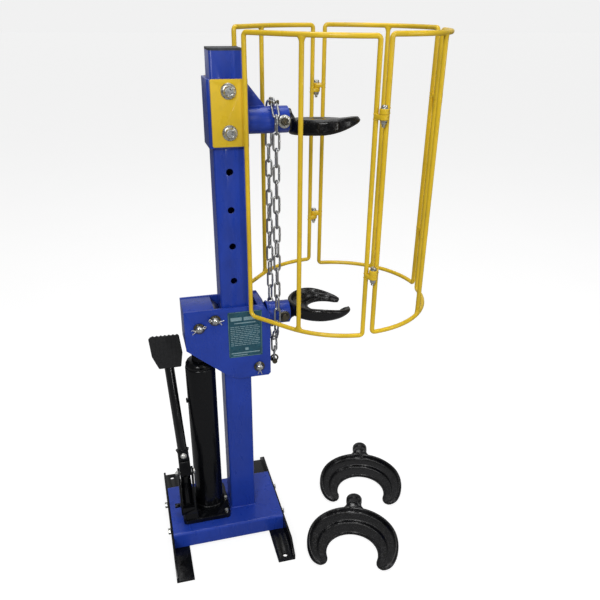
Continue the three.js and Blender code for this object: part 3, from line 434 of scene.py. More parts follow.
class Finish:
    """one procedural material around a Principled shader; textures use the frame's metres"""

    def __init__(self, name, color, roughness, metallic=0.0):
        self.material = bpy.data.materials.new(name)
        self.material.use_nodes = True
        self.nodes = self.material.node_tree.nodes
        self.links = self.material.node_tree.links
        self.shader = self.nodes["Principled BSDF"]
        self.put("Base Color", (*color, 1))
        self.put("Roughness", roughness)
        self.put("Metallic", metallic)
        self.coord = self.nodes.new("ShaderNodeTexCoord").outputs["Object"]

    def put(self, name, value):
        if isinstance(value, bpy.types.NodeSocket):
            self.links.new(value, self.shader.inputs[name])
        else:
            self.shader.inputs[name].default_value = value

    def add(self, kind, inputs, **settings):
        node = self.nodes.new("ShaderNode" + kind)
        for key, value in settings.items():
            setattr(node, key, value)
        for key, value in inputs.items():
            if isinstance(value, bpy.types.NodeSocket):
                self.links.new(value, node.inputs[key])
            else:
                node.inputs[key].default_value = value
        return node

    def noise(self, scale, detail=3.0, stretch=(1, 1, 1), rough=0.5):
        turned = self.add("Mapping", {"Vector": self.coord, "Scale": stretch})
        inputs = {"Vector": turned.outputs[0], "Scale": scale, "Detail": detail, "Roughness": rough}
        return self.add("TexNoise", inputs).outputs["Fac"]

    def fade(self, value, low, high, at_low, at_high):
        inputs = {"Value": value, "From Min": low, "From Max": high, "To Min": at_low, "To Max": at_high}
        return self.add("MapRange", inputs).outputs["Result"]

    def math(self, operation, a, b):
        return self.add("Math", {0: a, 1: b}, operation=operation).outputs[0]

    def mix(self, factor, a, b):
        return self.add("Mix", {0: factor, 6: a, 7: b}, data_type="RGBA").outputs[2]

    def edges(self, radius_mm):
        """1 along sharp edges, 0 on flat faces"""
        soft = self.add("Bevel", {"Radius": radius_mm * MM}, samples=4).outputs["Normal"]
        true = self.nodes.new("ShaderNodeNewGeometry").outputs["Normal"]
        dot = self.add("VectorMath", {0: soft, 1: true}, operation="DOT_PRODUCT").outputs["Value"]
        return self.fade(dot, 0.985, 0.80, 0.0, 1.0)

    def bump(self, *layers):
        """stacks (height, distance in millimetres) bumps"""
        normal = None
        for height, distance in layers:
            inputs = {"Height": height, "Distance": distance * MM, "Strength": 1.0}
            if normal is not None:
                inputs["Normal"] = normal
            normal = self.add("Bump", inputs).outputs["Normal"]
        self.put("Normal", normal)


def shade(color, amount):
    return tuple(min(1.0, max(0.0, c * amount)) for c in color[:3]) + (1,)


def paint(name, color, roughness, worn, wear, peel=0.035, coat=0.25, shine=0.35):
    """sprayed enamel: cloudy colour, orange peel, rubbed edges and a little settled dust"""
    f = Finish(name, color, roughness)
    cloud = f.fade(f.noise(9, 4), 0.3, 0.7, 0.0, 1.0)
    base = f.mix(cloud, shade(color, 0.86), shade(color, 1.12))
    grime = f.fade(f.noise(38, 6, rough=0.65), 0.52, 0.74, 0.0, 0.30)
    base = f.mix(grime, base, shade(color, 0.62))
    chips = f.fade(f.noise(330, 5), 0.44, 0.62, 0.0, 1.0)
    rubbed = f.math("MULTIPLY", f.math("MULTIPLY", f.edges(1.1), chips), wear)
    base = f.mix(rubbed, base, (*worn, 1))
    f.put("Base Color", base)
    streak = f.fade(f.noise(55, 5, (1, 1, 0.3)), 0.35, 0.7, roughness - 0.06, roughness + 0.14)
    f.put("Roughness", streak)
    f.put("Coat Weight", coat)
    f.put("Coat Roughness", 0.1)
    f.put("Specular IOR Level", shine)
    f.bump((f.noise(420, 2), peel), (f.noise(60, 3), peel * 1.5))
    return f.material


def cast_paint():
    """thick gloss black over a sand-cast skin"""
    color = rgb(10, 10, 13)
    f = Finish("cast_black_gloss", color, 0.2)
    f.put("Base Color", f.mix(f.fade(f.noise(60, 4), 0.4, 0.7, 0, 1), shade(color, 0.7), shade(color, 1.5)))
    f.put("Roughness", f.fade(f.noise(120, 5), 0.35, 0.7, 0.13, 0.36))
    f.put("Coat Weight", 0.32)
    f.put("Specular IOR Level", 0.3)
    f.put("Coat Roughness", 0.1)
    pits = f.fade(f.noise(310, 3), 0.36, 0.46, 0.0, 1.0)
    f.bump((f.noise(70, 3), 0.9), (f.noise(230, 4), 0.28), (pits, 0.12))
    return f.material


def plated(name, color, roughness=0.28, tint=rgb(196, 186, 150), tint_amount=0.35, dark=0.55):
    """bright zinc plate with passivation tint, handling marks and dull recesses"""
    f = Finish(name, color, roughness, 1.0)
    base = f.mix(f.fade(f.noise(160, 4), 0.42, 0.62, 0, tint_amount), (*color, 1), (*tint, 1))
    base = f.mix(f.fade(f.noise(420, 5), 0.5, 0.72, 0, 0.6), base, shade(color, dark))
    f.put("Base Color", base)
    f.put("Roughness", f.fade(f.noise(260, 4), 0.3, 0.7, roughness - 0.1, roughness + 0.16))
    f.bump((f.noise(900, 3), 0.02), (f.noise(190, 2), 0.05))
    return f.material


def turned_steel(name, color, roughness, axis):
    """bare or blackened steel with fine turning lines round its axis"""
    f = Finish(name, color, roughness, 1.0)
    stretch = tuple(1.0 if k == axis else 0.04 for k in range(3))
    lines = f.noise(1500, 2, stretch)
    f.put("Base Color", f.mix(f.fade(f.noise(70, 4), 0.4, 0.7, 0, 0.7), (*color, 1), shade(color, 0.7)))
    f.put("Roughness", f.fade(f.noise(120, 4), 0.3, 0.7, roughness * 0.7, roughness * 1.5))
    f.bump((lines, 0.012))
    return f.material


def moulded(name, color, roughness, grain):
    """moulded rubber or plastic with a fine leathery grain and dusty high spots"""
    f = Finish(name, color, roughness)
    dust = f.fade(f.noise(90, 5), 0.45, 0.75, 0.0, 0.5)
    base = f.mix(dust, (*color, 1), shade(color, 2.0))
    f.put("Base Color", f.mix(f.math("MULTIPLY", f.edges(1.0), 0.5), base, shade(color, 3.0)))
    f.put("Roughness", f.fade(f.noise(200, 4), 0.3, 0.7, roughness - 0.08, roughness + 0.12))
    f.put("Specular IOR Level", 0.36)
    f.bump((f.noise(800, 3), grain), (f.noise(120, 3), grain * 2))
    return f.material


def label_film():
    color = rgb(34, 84, 100)
    f = Finish("label_film", color, 0.35)
    f.put("Base Color", f.mix(f.fade(f.noise(45, 4), 0.35, 0.7, 0, 1), shade(color, 0.8), shade(color, 1.2)))
    f.put("Roughness", f.fade(f.noise(150, 3), 0.3, 0.7, 0.22, 0.42))
    f.bump((f.noise(500, 2), 0.02))
    return f.material


def label_ink():
    color = rgb(150, 178, 186)
    f = Finish("label_ink", color, 0.45)
    worn = f.fade(f.noise(700, 3), 0.35, 0.6, 0, 0.6)
    f.put("Base Color", f.mix(worn, (*color, 1), (*rgb(88, 132, 146), 1)))
    f.bump((f.noise(900, 2), 0.01))
    return f.material


BLACK_RGB = rgb(9, 10, 13)
BLUE = paint("blue_enamel", rgb(34, 66, 172), 0.30, rgb(120, 132, 165), 0.5)
YELLOW = paint("yellow_enamel", rgb(236, 198, 44), 0.32, rgb(150, 122, 60), 0.35, peel=0.03)
BARE_RGB = rgb(78, 80, 84)
BLACK = paint("black_enamel", BLACK_RGB, 0.22, BARE_RGB, 0.4, peel=0.025, coat=0.14, shine=0.24)
LEVER = paint("lever_gloss", BLACK_RGB, 0.2, BARE_RGB, 0.4, peel=0.008, coat=0.9, shine=0.3)
CAST = cast_paint()
ZINC = plated("bright_zinc", rgb(214, 216, 214))
CHAIN_ZINC = plated("chain_zinc", rgb(186, 188, 190), 0.34, rgb(150, 142, 122), 0.3, 0.6)
SPLIT_STEEL = plated("split_pin_steel", rgb(234, 234, 230), 0.36, rgb(200, 190, 160), 0.2, 0.6)
ROD = turned_steel("rod_black", rgb(46, 47, 52), 0.24, 2)
DULL = plated("dull_steel", rgb(96, 95, 90), 0.32, rgb(128, 112, 66), 0.4, 0.5)
STEEL = turned_steel("turned_steel", rgb(150, 150, 150), 0.3, 1)
CAP = moulded("cap_plastic", rgb(58, 61, 66), 0.5, 0.03)
RUBBER = moulded("pad_rubber", rgb(12, 13, 15), 0.58, 0.04)
FILM = label_film()
INK = label_ink()


# ---- base, feet, post
def build_tray():
    t = TRAY
    half, low, top = t["half"], t["bottom"], t["top"]
    inner, under = half - SHEET, top - SHEET
    outer = [(-half, low), (-half, top), (half, top), (half, low),
             (inner, low), (inner, under), (-inner, under), (-inner, low)]
    outline = rounded(outer, [0.6, t["bend"], t["bend"], 0.6, 0.6, 2.5, 2.5, 0.6], 6)
    shell = Shell()
    stations = (t["left"], t["left"] + 1, t["right"] - 1, t["right"])
    shell.skin([[(x, y, z) for y, z in outline] for x in stations])
    end = rounded(rect(-half + 1, half - 1, 10, top - 1), [2, 2, 6, 6], 5)
    shell.prism(end, "x", t["left"] + 0.4, t["left"] + SHEET, 0.5)
    shell.prism(end, "x", t["right"] - SHEET, t["right"] - 0.4, 0.5)
    build("base_tray_folded", shell, BLUE, "stand", ["base_tray"], 0.7)
    seam = Shell()
    for side, x in ((-1, t["left"] + 1.2), (1, t["right"] - 1.2)):
        for y in (-half + 0.6, half - 0.6):
            bead(seam, [(x, y, 12), (x, y, 38)], 1.6, 11 + side)
    build("tray_corner_welds", seam, BLUE, "stand")


def foot_bolt(side, y, name):
    face = (TRAY["left"] if side < 0 else TRAY["right"]) + side * (SHEET + 0.05)
    shell = Shell()
    washer = [(0, 0), (6.9, 0), (7.2, 0.4), (7.2, 1.0), (0, 1.0)]
    shell.turned((face, y, FOOT_BOLT_Z), (side, 0, 0), washer, 24)
    shell.hexagon((face + side * 0.9, y, FOOT_BOLT_Z), (side, 0, 0), 12.8, 5.2, turn=0.3)
    inner = face - side * (2 * SHEET + 0.1)
    shell.hexagon((inner, y, FOOT_BOLT_Z), (-side, 0, 0), 12.8, 6.4, turn=0.8)
    profile = [(0, 0), (3.9, 0), (3.9, 14)] + thread(4, 14, 19.4) + [(3, 20), (0, 20)]
    shell.turned((face, y, FOOT_BOLT_Z), (-side, 0, 0), profile, 20)
    build(name + "_hex", shell, ZINC, "stand", [name])


def sleeve_bolt(z, name):
    shell = Shell()
    washer = [(0, 0), (13.3, 0), (14, 0.5), (14, 2.0), (13.3, 2.6), (0, 2.6)]
    x = SLEEVE_BOLT_X
    for side in (-1, 1):
        base = side * (PLATE_FACE + 0.05)
        shell.turned((x, base, z), (0, side, 0), washer, 40)
        flange = [(0, 0), (11.6, 0), (11.6, 0.8), (9.6, 2.2), (0, 2.2)]
        shell.turned((x, base + side * 2.6, z), (0, side, 0), flange, 36)
    front = -(PLATE_FACE + 2.65)
    shell.hexagon((x, front - 1.4, z), FRONT, 18.4, 7.0, turn=0.25, chamfer=2.0)
    shell.turned((x, front - 8.2, z), FRONT, [(7.8, 0), (6.6, 0.35), (5.2, -0.25), (0, -0.35)][::-1], 28)
    rear = PLATE_FACE + 2.65
    shell.hexagon((x, rear + 1.4, z), BACK, 18.4, 9.0, turn=0.1, chamfer=1.6)
    profile = [(0, 0), (5.9, 0)] + thread(6, 1, rear + 13, 1.75)[1:] + [(4.8, rear + 13.9), (0, rear + 13.9)]
    shell.turned((x, 0, z), BACK, profile, 24)
    shell.turned((x, 0, z), FRONT, [(0, 0), (6, 0), (6, PLATE_FACE), (0, PLATE_FACE)], 24)
    build(name + "_hex", shell, ZINC, "stand", [name])


def build_welds():
    """beads where the post, arms, gusset and carriage webs meet their neighbours"""
    shell = Shell()
    foot = [(x, y, TRAY["top"] + 0.4) for x, y in rounded(rect(-31, 31, -31, 31), 6, 5)]
    bead(shell, foot, 2.3, 3, closed=True)
    ring = circle_line((ARM_ROOT["upper"] + 1.0, 0, ARM_Z["upper"]), RIGHT, ARM_R + 0.6, 80)
    bead(shell, ring, 2.4, 5, closed=True)
    for side in (-1, 1):
        y = side * 4.6
        top = ARM_Z["upper"] + ARM_R + 0.2
        bead(shell, [(39, y, top), (73, y, top)], 1.7, 21 + side)
        bead(shell, [(38, y, top + 2), (38, y, top + 42)], 1.6, 31 + side)
    build("stand_welds", shell, BLUE, "stand")
    moving = Shell()
    ring = circle_line((ARM_ROOT["lower"] + 1.0, 0, ARM_Z["lower"]), RIGHT, ARM_R + 0.6, 80)
    bead(moving, ring, 2.4, 7, closed=True)
    for side in (-1, 1):
        y = side * (CARRIAGE_FACE - SHEET - 0.4)
        bead(moving, [(-104.4, y, 516), (-104.4, y, 594)], 1.7, 41 + side)
        bead(moving, [(66.4, y, 502), (66.4, y, 572)], 1.7, 51 + side)
        bead(moving, [(-100, y, 594.6), (-60, y, 594.6)], 1.5, 61 + side)
    build("carriage_welds", moving, BLUE, "carriage")


# ---- ram
def build_ram():
    r, top = RAM["r"], RAM["top"]
    shell = Shell()
    foot, bore = RAM["bottom"], RAM["bore"]
    outside = [(0, foot), (r, foot), (r, top - 4), (r - 0.5, top - 2), (r - 1.4, top - 0.5), (r - 2.2, top)]
    inside = [(bore, top), (bore, foot + 16), (0, foot + 16)]
    shell.turned((RAM["x"], 0, 0), UP, outside + inside, 72)
    build("ram_cylinder_tube", shell, BLACK, "stand", ["ram_cylinder"])
    weld = Shell()
    ring = circle_line((RAM["x"], 0, 67.2), UP, r + 1.2, 90)
    bead(weld, ring, 2.6, 9, closed=True)
    build("ram_foot_weld", weld, BLACK, "stand")
    plug = Shell()
    skin = RAM["x"] - r
    profile = [(0, -3.8), (4.2, -3.8), (5.6, -3.2), (6.1, -2.0), (5.6, -0.8), (4.4, -0.1), (4.0, 4.2),
               (0, 4.2)]
    plug.turned((skin, 0, RAM["plug_z"]), RIGHT, profile, 28)
    build("ram_filler_plug_rubber", plug, RUBBER, "stand", ["ram_filler_plug"])
    for (x, y), name in zip(BLOCK_BOLTS, ("ram_base_bolt_front", "ram_base_bolt_rear")):
        bolt = Shell()
        bolt.turned((x, y, BLOCK_TOP + 0.05), UP, [(0, 0), (4.6, 0), (4.6, 0.7), (0, 0.7)], 24)
        bolt.hexagon((x, y, BLOCK_TOP + 0.7), UP, 8.0, 5.3, turn=0.4)
        build(name + "_hex", bolt, ZINC, "stand", [name])


# ---- carriage pins and lock bolts
def split_pin(shell, x, y, z, seed, slot, turn):
    """folded wire pin: an eye on one side, two legs splayed on the other"""
    rng = random.Random(seed)
    tilt = turn + rng.uniform(0.25, 0.5)
    along = Vector((cos(tilt), 0, sin(tilt)))
    up = Vector((-sin(tilt), 0, cos(tilt)))
    middle = Vector((x, y, z))
    eye = [middle - along * (11.4 + 2.6 * cos(a)) + up * (2.3 * sin(a)) for a in
           [pi * 2 * k / 14 for k in range(14)]]
    shell.tube(eye, 0.95, 8, closed=True, slot=slot)
    for sign in (-1, 1):
        reach = 17.5 if sign > 0 else 15.5
        bends = ((-9.5, 0.8), (8, 0.8), (11.5, 2.2), (reach, 4.4 + rng.uniform(0, 2)))
        leg = [middle + along * out + up * sign * aside for out, aside in bends]
        shell.tube(spaced(leg, 2.0), 0.95, 8, slot=slot)


SPLIT_TURN = {"ram_clevis_pin": pi, "upper_roller_pin": -0.6, "lower_roller_pin": pi + 1.15}


def build_pins():
    for number, (name, (x, z)) in enumerate(sorted(PINS.items())):
        shell = Shell()
        dome = [(0, 51.4), (2.4, 51.2), (4.6, 50.5), (6.4, 49.3), (7.6, 47.6), (8, 45.6)]
        profile = [(r, -along) for r, along in dome] + dome[::-1]
        shell.turned((x, 0, z), BACK, profile, 32)
        for side in (-1, 1):
            ring = [(8.2, 0.1), (11.6, 0.1), (12, 0.5), (12, 2.1), (11.6, 2.5), (8.2, 2.5), (8.2, 0.1)]
            shell.turned((x, side * CARRIAGE_FACE, z), (0, side, 0), ring, 32, slot=2)
            split_pin(shell, x, side * 46.3, z, 70 + number * 2 + side, 1, SPLIT_TURN[name])
        build(name + "_turned", shell, [ZINC, SPLIT_STEEL, DULL], "carriage", [name])


def build_lock_bolts():
    for which, body in (("upper", "stand"), ("lower", "carriage")):
        z = ARM_Z[which]
        shell = Shell()
        face = -ARM_R - 0.9
        washer = [(0, 0), (11.6, 0), (12.4, 0.6), (12.4, 2.0), (11.2, 2.9), (8.0, 2.9), (7.4, 2.2), (0, 2.2)]
        shell.turned((LOCK_X, face, z), FRONT, washer, 40)
        shell.hexagon((LOCK_X, face - 2.2, z), FRONT, 13.6, 6.0, turn=0.35, chamfer=1.6, slot=1)
        shell.turned((LOCK_X, 0, z), FRONT, [(0, 16.5), (4.9, 16.5), (4.9, 27), (0, 27)], 24, slot=1)
        finishes = [ZINC if which == "upper" else DULL, DULL]
        build(which + "_lock_bolt_hex", shell, finishes, body, [which + "_lock_bolt"])


# ---- label
LABEL_BOX = (-19.5, 54, 481, 590)
LABEL_THICK = 0.5


def build_label():
    """film with rounded corners, with a thin border and plain bars in place of printing"""
    rng = random.Random(17)
    left, right, low, high = LABEL_BOX
    face = -CARRIAGE_FACE - LABEL_THICK
    film = Shell()
    film.prism(rounded(rect(left, right, low, high), 3, 4), "y", face, -CARRIAGE_FACE)
    build("rating_label_film", film, FILM, "carriage", ["rating_label"])
    shell = Shell()

    def strip(x0, x1, z0, z1):
        shell.prism(rect(x0, x1, z0, z1), "y", face - 0.06, face + 0.02)
    for x in (left + 1, right - 1.5):
        strip(x, x + 0.5, low + 4, high - 4)
    for z in (low + 1, high - 1.5):
        strip(left + 4, right - 4, z, z + 0.5)
    strip(left + 6, left + 30, high - 21, high - 13)
    strip(left + 34, left + 58, high - 21, high - 13)
    strip(left + 14, right - 14, high - 28, high - 25.5)
    z = high - 36
    while z > low + 26:
        x = left + 5
        while x < right - 9:
            run = rng.uniform(4, 11)
            strip(x, min(x + run, right - 5), z, z + 1.5)
            x += run + 1.6
        z -= 4.4
    strip(right - 38, right - 31, low + 16, low + 22)
    strip(left + 5, right - 6, low + 9, low + 11.5)
    strip(left + 9, left + 40, low + 4, low + 6)
    build("rating_label_print", shell, INK, "carriage")


# ---- yokes
def outer_reach(y, away):
    shift = y["inner_x"] - y["outer_x"]
    return -shift * away.x + sqrt((shift * away.x) ** 2 - shift ** 2 + y["outer"] ** 2)


def ease(value, low, high):
    t = min(1.0, max(0.0, (value - low) / (high - low)))
    return t * t * (3 - 2 * t)


def crescent(y):
    """dished crescent inside a raised outer wall, with a step before each rounded tip"""
    sweep = radians(y["half"])
    stations = 72
    rings = []
    for i in range(stations + 1):
        t = -1 + 2 * i / stations
        angle = pi + t * sweep
        away = Vector((cos(angle), sin(angle), 0))
        reach = outer_reach(y, away)
        taper = ease(abs(t), 0.4, 1)
        tip = max(0.0, (abs(t) - 0.88) / 0.12)
        half = (reach - y["inner"]) / 2 * sqrt(max(0.02, 1 - 0.75 * tip ** 2.4))
        middle = (y["inner"] + reach) / 2
        low, high = middle - half, middle + half
        rim = YOKE_BODY["rim"] * (1 - 0.6 * taper) - 2.5 * tip
        seat = YOKE_BODY["seat"] * (1 - 0.4 * taper)
        ledge = seat - 4 + 3 * ease(abs(t), 0.8, 0.86)
        wall = min(YOKE_BODY["wall"], half * 0.8)
        base = y["base"] + y["rise"] * t + tip * 1.2
        shelf = low + (high - low) * 0.48
        section = [(low + 3, 0), (high - 5, 0), (high, 6), (high, rim - 4),
                   (high - wall * 0.3, rim), (high - wall * 0.7, rim), (high - wall, seat + 3),
                   (shelf + 1.5, seat + 2.2), (shelf, seat + 1), (shelf - 1.5, ledge - 1),
                   (low + 6, ledge - 1.5), (low + 3, ledge + 0.8), (low, ledge - 0.5), (low, 3)]
        rings.append([Vector((y["inner_x"], 0, base + z)) + away * r for r, z in section])
    return rings


def neck_ring(x, half_width, middle, half_height):
    angles = [2 * pi * k / 28 for k in range(28)]
    return [Vector((x, half_width * cos(a), middle + half_height * sin(a))) for a in angles]


def yoke_shell(y):
    middle = y["base"] + YOKE_BODY["seat"] / 2
    high = y["base"] + YOKE_BODY["rim"] / 2
    back = y["outer_x"] - y["outer"]
    shell = Shell()
    shell.skin(crescent(y))
    shell.skin([
        neck_ring(y["neck"], 19.5, 0, 19.5),
        neck_ring(y["neck"] + 7, 29, high * 0.5, 15.5),
        neck_ring(back + 8, 33, high, YOKE_BODY["rim"] / 2 - 1.5),
        neck_ring(back + 16, 30, middle, YOKE_BODY["seat"] / 2 - 1),
    ])
    groove = y["spigot"] + LOCK_X - MACHINE_YOKE["spigot"]
    start, end = y["spigot"], y["neck"] + 3
    r = SPIGOT_R - 0.4
    shell.turned((0, 0, 0), RIGHT, [
        (0, start + 0.4), (r - 2, start + 0.4), (r, start + 2.4), (r, groove - 5.6), (r - 2.2, groove - 5),
        (r - 2.2, groove + 5), (r, groove + 5.6), (r, end), (0, end)], 56)
    return shell


VOXEL = 1.4


def cast(name, shell, matrix, body, replaces):
    """melts the overlapping shells into one casting with soft inner corners"""
    shell.moved(matrix)
    obj = build(name, shell, CAST, body, replaces)
    obj.modifiers.clear()
    melt = obj.modifiers.new("melt", "REMESH")
    melt.mode = "VOXEL"
    melt.voxel_size = VOXEL * MM
    melt.use_smooth_shade = True
    relax = obj.modifiers.new("relax", "SMOOTH")
    relax.factor = 0.5
    relax.iterations = 5
    graph = bpy.context.evaluated_depsgraph_get()
    mesh = bpy.data.meshes.new_from_object(obj.evaluated_get(graph))
    obj.modifiers.clear()
    obj.data = mesh
    obj.data.materials.clear()
    obj.data.materials.append(CAST)
    mesh.polygons.foreach_set("use_smooth", [True] * len(mesh.polygons))
    return obj


def build_yokes():
    lower = Matrix.Translation((0, 0, ARM_Z["lower"]))
    cast("lower_yoke_casting", yoke_shell(MACHINE_YOKE), lower, "yoke_below", ["lower_yoke"])
    over = radians(180 - UPPER_YOKE_TILT)
    upper = Matrix.Translation((0, 0, ARM_Z["upper"])) @ Matrix.Rotation(over, 4, "X")
    top_yoke = dict(MACHINE_YOKE, base=0)
    cast("upper_yoke_casting", yoke_shell(top_yoke), upper, "yoke_above", ["upper_yoke"])
    for node, (x, y, turn) in SPARE_PLACES.items():
        to_floor = Matrix.Translation((-SPARE_YOKE["outer_x"], 0, -SPARE_YOKE["base"]))
        matrix = Matrix.Translation((x, y, 0)) @ Matrix.Rotation(radians(turn - 180), 4, "Z") @ to_floor
        cast(node + "_casting", yoke_shell(SPARE_YOKE), matrix, node.replace("_yoke", ""), [node])


# ---- cage
def arc_plan(from_deg, to_deg, steps):
    plan = []
    for i in range(steps + 1):
        a = radians(from_deg + (to_deg - from_deg) * i / steps)
        out = Vector((cos(a), sin(a), 0))
        plan.append((CAGE_AXIS + out * CAGE["r"], out))
    return plan


def rooted_plan(end_deg, steps):
    reach = hypot(CAGE["x"] - CAGE_ROOT[0], CAGE_ROOT[1])
    to_root = atan2(-CAGE_ROOT[1], CAGE_ROOT[0] - CAGE["x"])
    arc = arc_plan(degrees(to_root + acos(CAGE["r"] / reach)), end_deg, steps)
    return [(Vector((CAGE_ROOT[0], -CAGE_ROOT[1], 0)), arc[0][1].copy())] + arc


def plan_length(plan):
    return sum((a[0] - b[0]).length for a, b in zip(plan, plan[1:]))


def plan_at(plan, distance):
    for i, (a, b) in enumerate(zip(plan, plan[1:])):
        run = (b[0] - a[0]).length
        if distance <= run or i + 2 == len(plan):
            t = distance / run
            return a[0].lerp(b[0], t), a[1].lerp(b[1], t).normalized()
        distance -= run


def panel_wires(shell, plan, size, rooted):
    """closed bent frame and its middle upright, blended into the rails with filled welds"""
    length = plan_length(plan)
    bottom, top, share = size
    r = CAGE["corner"]
    low_r = CAGE["root_corner"] if rooted else r
    stops, run = [], 0.0
    for a, b in zip(plan, plan[1:]):
        run += (b[0] - a[0]).length
        if low_r + 4 < run < length - r - 4:
            stops.append(run)
    path = []

    def corner(s, z, start, r):
        for k in range(7):
            a = radians(start + 15 * k)
            path.append((s + r * cos(a), z + r * sin(a)))
    corner(low_r, bottom + low_r, 180, low_r)
    path.extend((s, bottom) for s in stops)
    corner(length - r, bottom + r, 270, r)
    corner(length - r, top - r, 0, r)
    path.extend((s, top) for s in reversed(stops))
    corner(r, top - r, 90, r)
    line = []
    for s, z in path:
        spot = plan_at(plan, s)[0]
        line.append((spot.x, spot.y, z))
    shell.tube(line, CAGE["wire"], 16, closed=True)
    middle, out = plan_at(plan, length * share)
    along = Vector((0, 0, 1)).cross(out)
    shell.turned((middle.x, middle.y, 0), (0, 0, 1),
                 [(0, bottom), (CAGE["wire"], bottom), (CAGE["wire"], top), (0, top)], 16)
    for base, up in ((bottom, 1), (top, -1)):
        rings = []
        for height, spread in ((0, 7.4), (2.8, 9.0), (4.4, 8.0), (6, 6.5), (8, 5.3), (11, 4.5)):
            thick = 4.6 if height > 1 else 4.0
            centre = Vector((middle.x, middle.y, base + up * height))
            rings.append(wheel(centre, along * spread, out * thick, 1, 16))
        shell.skin(rings)


def lug(shell, gap_deg, gap_half, wire_side, z0):
    """flat eye on an edge wire, with small welds to the wire"""
    gap = radians(gap_deg)
    out = Vector((cos(gap), sin(gap), 0))
    along = Vector((-sin(gap), cos(gap), 0))
    centre = CAGE_AXIS + out * (CAGE["r"] + EYE["out"])
    wire = CAGE_AXIS + out * CAGE["r"] + along * (wire_side * gap_half)
    flat = Vector(RIGHT), Vector(BACK)
    points = wheel(centre, *flat, EYE["r"], 28) + wheel(wire, *flat, 4.4, 16)
    outline = [(points[i].x, points[i].y) for i in convex_hull_2d([p.xy for p in points])]
    shell.prism(outline, "z", z0, z0 + EYE["thick"], 0.9)
    for z in (z0 + 0.3, z0 + EYE["thick"] - 0.3):
        line = circle_line((wire.x, wire.y, z), UP, CAGE["wire"] + 0.1, 26)
        bead(shell, line, 0.9, int(z), closed=True)


def build_cage():
    latch_deg = degrees(asin(CAGE["gap"] / CAGE["r"]))
    for name, size in PANELS.items():
        shell = Shell()
        fixed = "panel" in name
        half = CAGE["rear_gap" if "rear" in name else "gap"]
        hinge_deg = degrees(asin(half / CAGE["r"]))
        if fixed:
            panel_wires(shell, rooted_plan(-90 - hinge_deg, 22), size, True)
            for z in HINGE_Z:
                lug(shell, -90, half, -1, z - EYE["thick"] - 0.15)
            for z in (934, 1040):
                x = CAGE_ROOT[0] - 4.2
                bead(shell, [(x, -43.4, z - 3), (x, -43.4, z + 3)], 1.4, z)
            for sign in (-1, 1):
                x = CAGE_ROOT[0] + sign * 3.6
                bead(shell, [(x, -43.6, 931), (x, -43.6, 1044)], 1.6, 300 + sign)
        else:
            panel_wires(shell, arc_plan(-90 + hinge_deg, -latch_deg, 24), size, False)
            for z in HINGE_Z:
                lug(shell, -90, half, 1, z + 0.15)
            for z in LATCH_Z:
                lug(shell, 0, CAGE["gap"], -1, z - EYE["thick"] - 0.15 if "front" in name else z + 0.15)
        if "rear" in name:
            shell.moved(Matrix.Diagonal((1, -1, 1, 1)))
        body = "stand" if fixed else ("front_door" if "front" in name else "rear_door")
        build(name + "_wire", shell, YELLOW, body, [name])


def eye_bolt(name, x, y, z, loose, body):
    top = z + EYE["thick"] + 0.3
    foot = z - EYE["thick"] - 0.3 - loose
    shell = Shell()
    washer = [(0, 0), (6.2, 0), (6.6, 0.4), (6.6, 1.1), (6.2, 1.5), (0, 1.5)]
    shell.turned((x, y, top), UP, washer, 28)
    shell.hexagon((x, y, top + 1.4), UP, 9.8, 4.1, turn=z * 0.37)
    shell.turned((x, y, foot), DOWN, washer, 28)
    shell.hexagon((x, y, foot - 1.4), DOWN, 9.8, 5.1, turn=z * 0.81)
    profile = [(0, 0), (3.1, 0), (3.1, 4)] + thread(3.15, 4, 11.2, 1.0)[1:] + [(2.4, 12), (0, 12)]
    shell.turned((x, y, foot), DOWN, profile, 18)
    shell.turned((x, y, foot), UP, [(0, 0), (3.1, 0), (3.1, top - foot), (0, top - foot)], 18)
    build(name + "_hex", shell, ZINC, body, [name])


def build_eye_bolts():
    pivot = CAGE["r"] + EYE["out"]
    for k, word in enumerate(("lower", "upper")):
        eye_bolt("front_hinge_bolt_" + word, CAGE["x"], -pivot, HINGE_Z[k], 0, "stand")
        eye_bolt("rear_hinge_bolt_" + word, CAGE["x"], pivot, HINGE_Z[k], 0, "stand")
        eye_bolt("latch_bolt_" + word, CAGE["x"] + pivot, 0, LATCH_Z[k], 0.4, "rear_door")


# ---- chain
def link(shell, centre, along, across, stretch=1.0):
    """one welded link: two straight sides and two round ends"""
    along, across = along.normalized(), across.normalized()
    half = CHAIN["half"]
    straight = (CHAIN["pitch"] * stretch + 2 * CHAIN["wire"]) / 2 - half
    line = []
    for sign in (1, -1):
        for k in range(9):
            a = -pi / 2 + pi * k / 8
            line.append(centre + along * sign * (straight + half * cos(a)) + across * sign * half * sin(a))
    shell.tube(line, CHAIN["wire"], 10, True)
    weld = centre + across * half
    radii = [CHAIN["wire"] * k for k in (0.9, 1.14, 1.2, 1.14, 0.9)]
    shell.tube([weld + along * d for d in (-2.2, -1.2, 0, 1.2, 2.2)], radii, 10)


def chain_line():
    side, arch, z_join, z_top = CHAIN["side"], CHAIN["arch"], CHAIN["join"], ARM_Z["upper"]
    flat = [(3, z_join), (side * 0.55, z_join + 26), (side, z_join + 62), (side, z_top - 20)]
    over = [(arch * cos(pi * k / 12), z_top + arch * sin(pi * k / 12)) for k in range(13)]
    flat += over + [(-y, z) for y, z in flat][::-1]
    return [Vector((CHAIN["x"], y, z)) for y, z in flat]


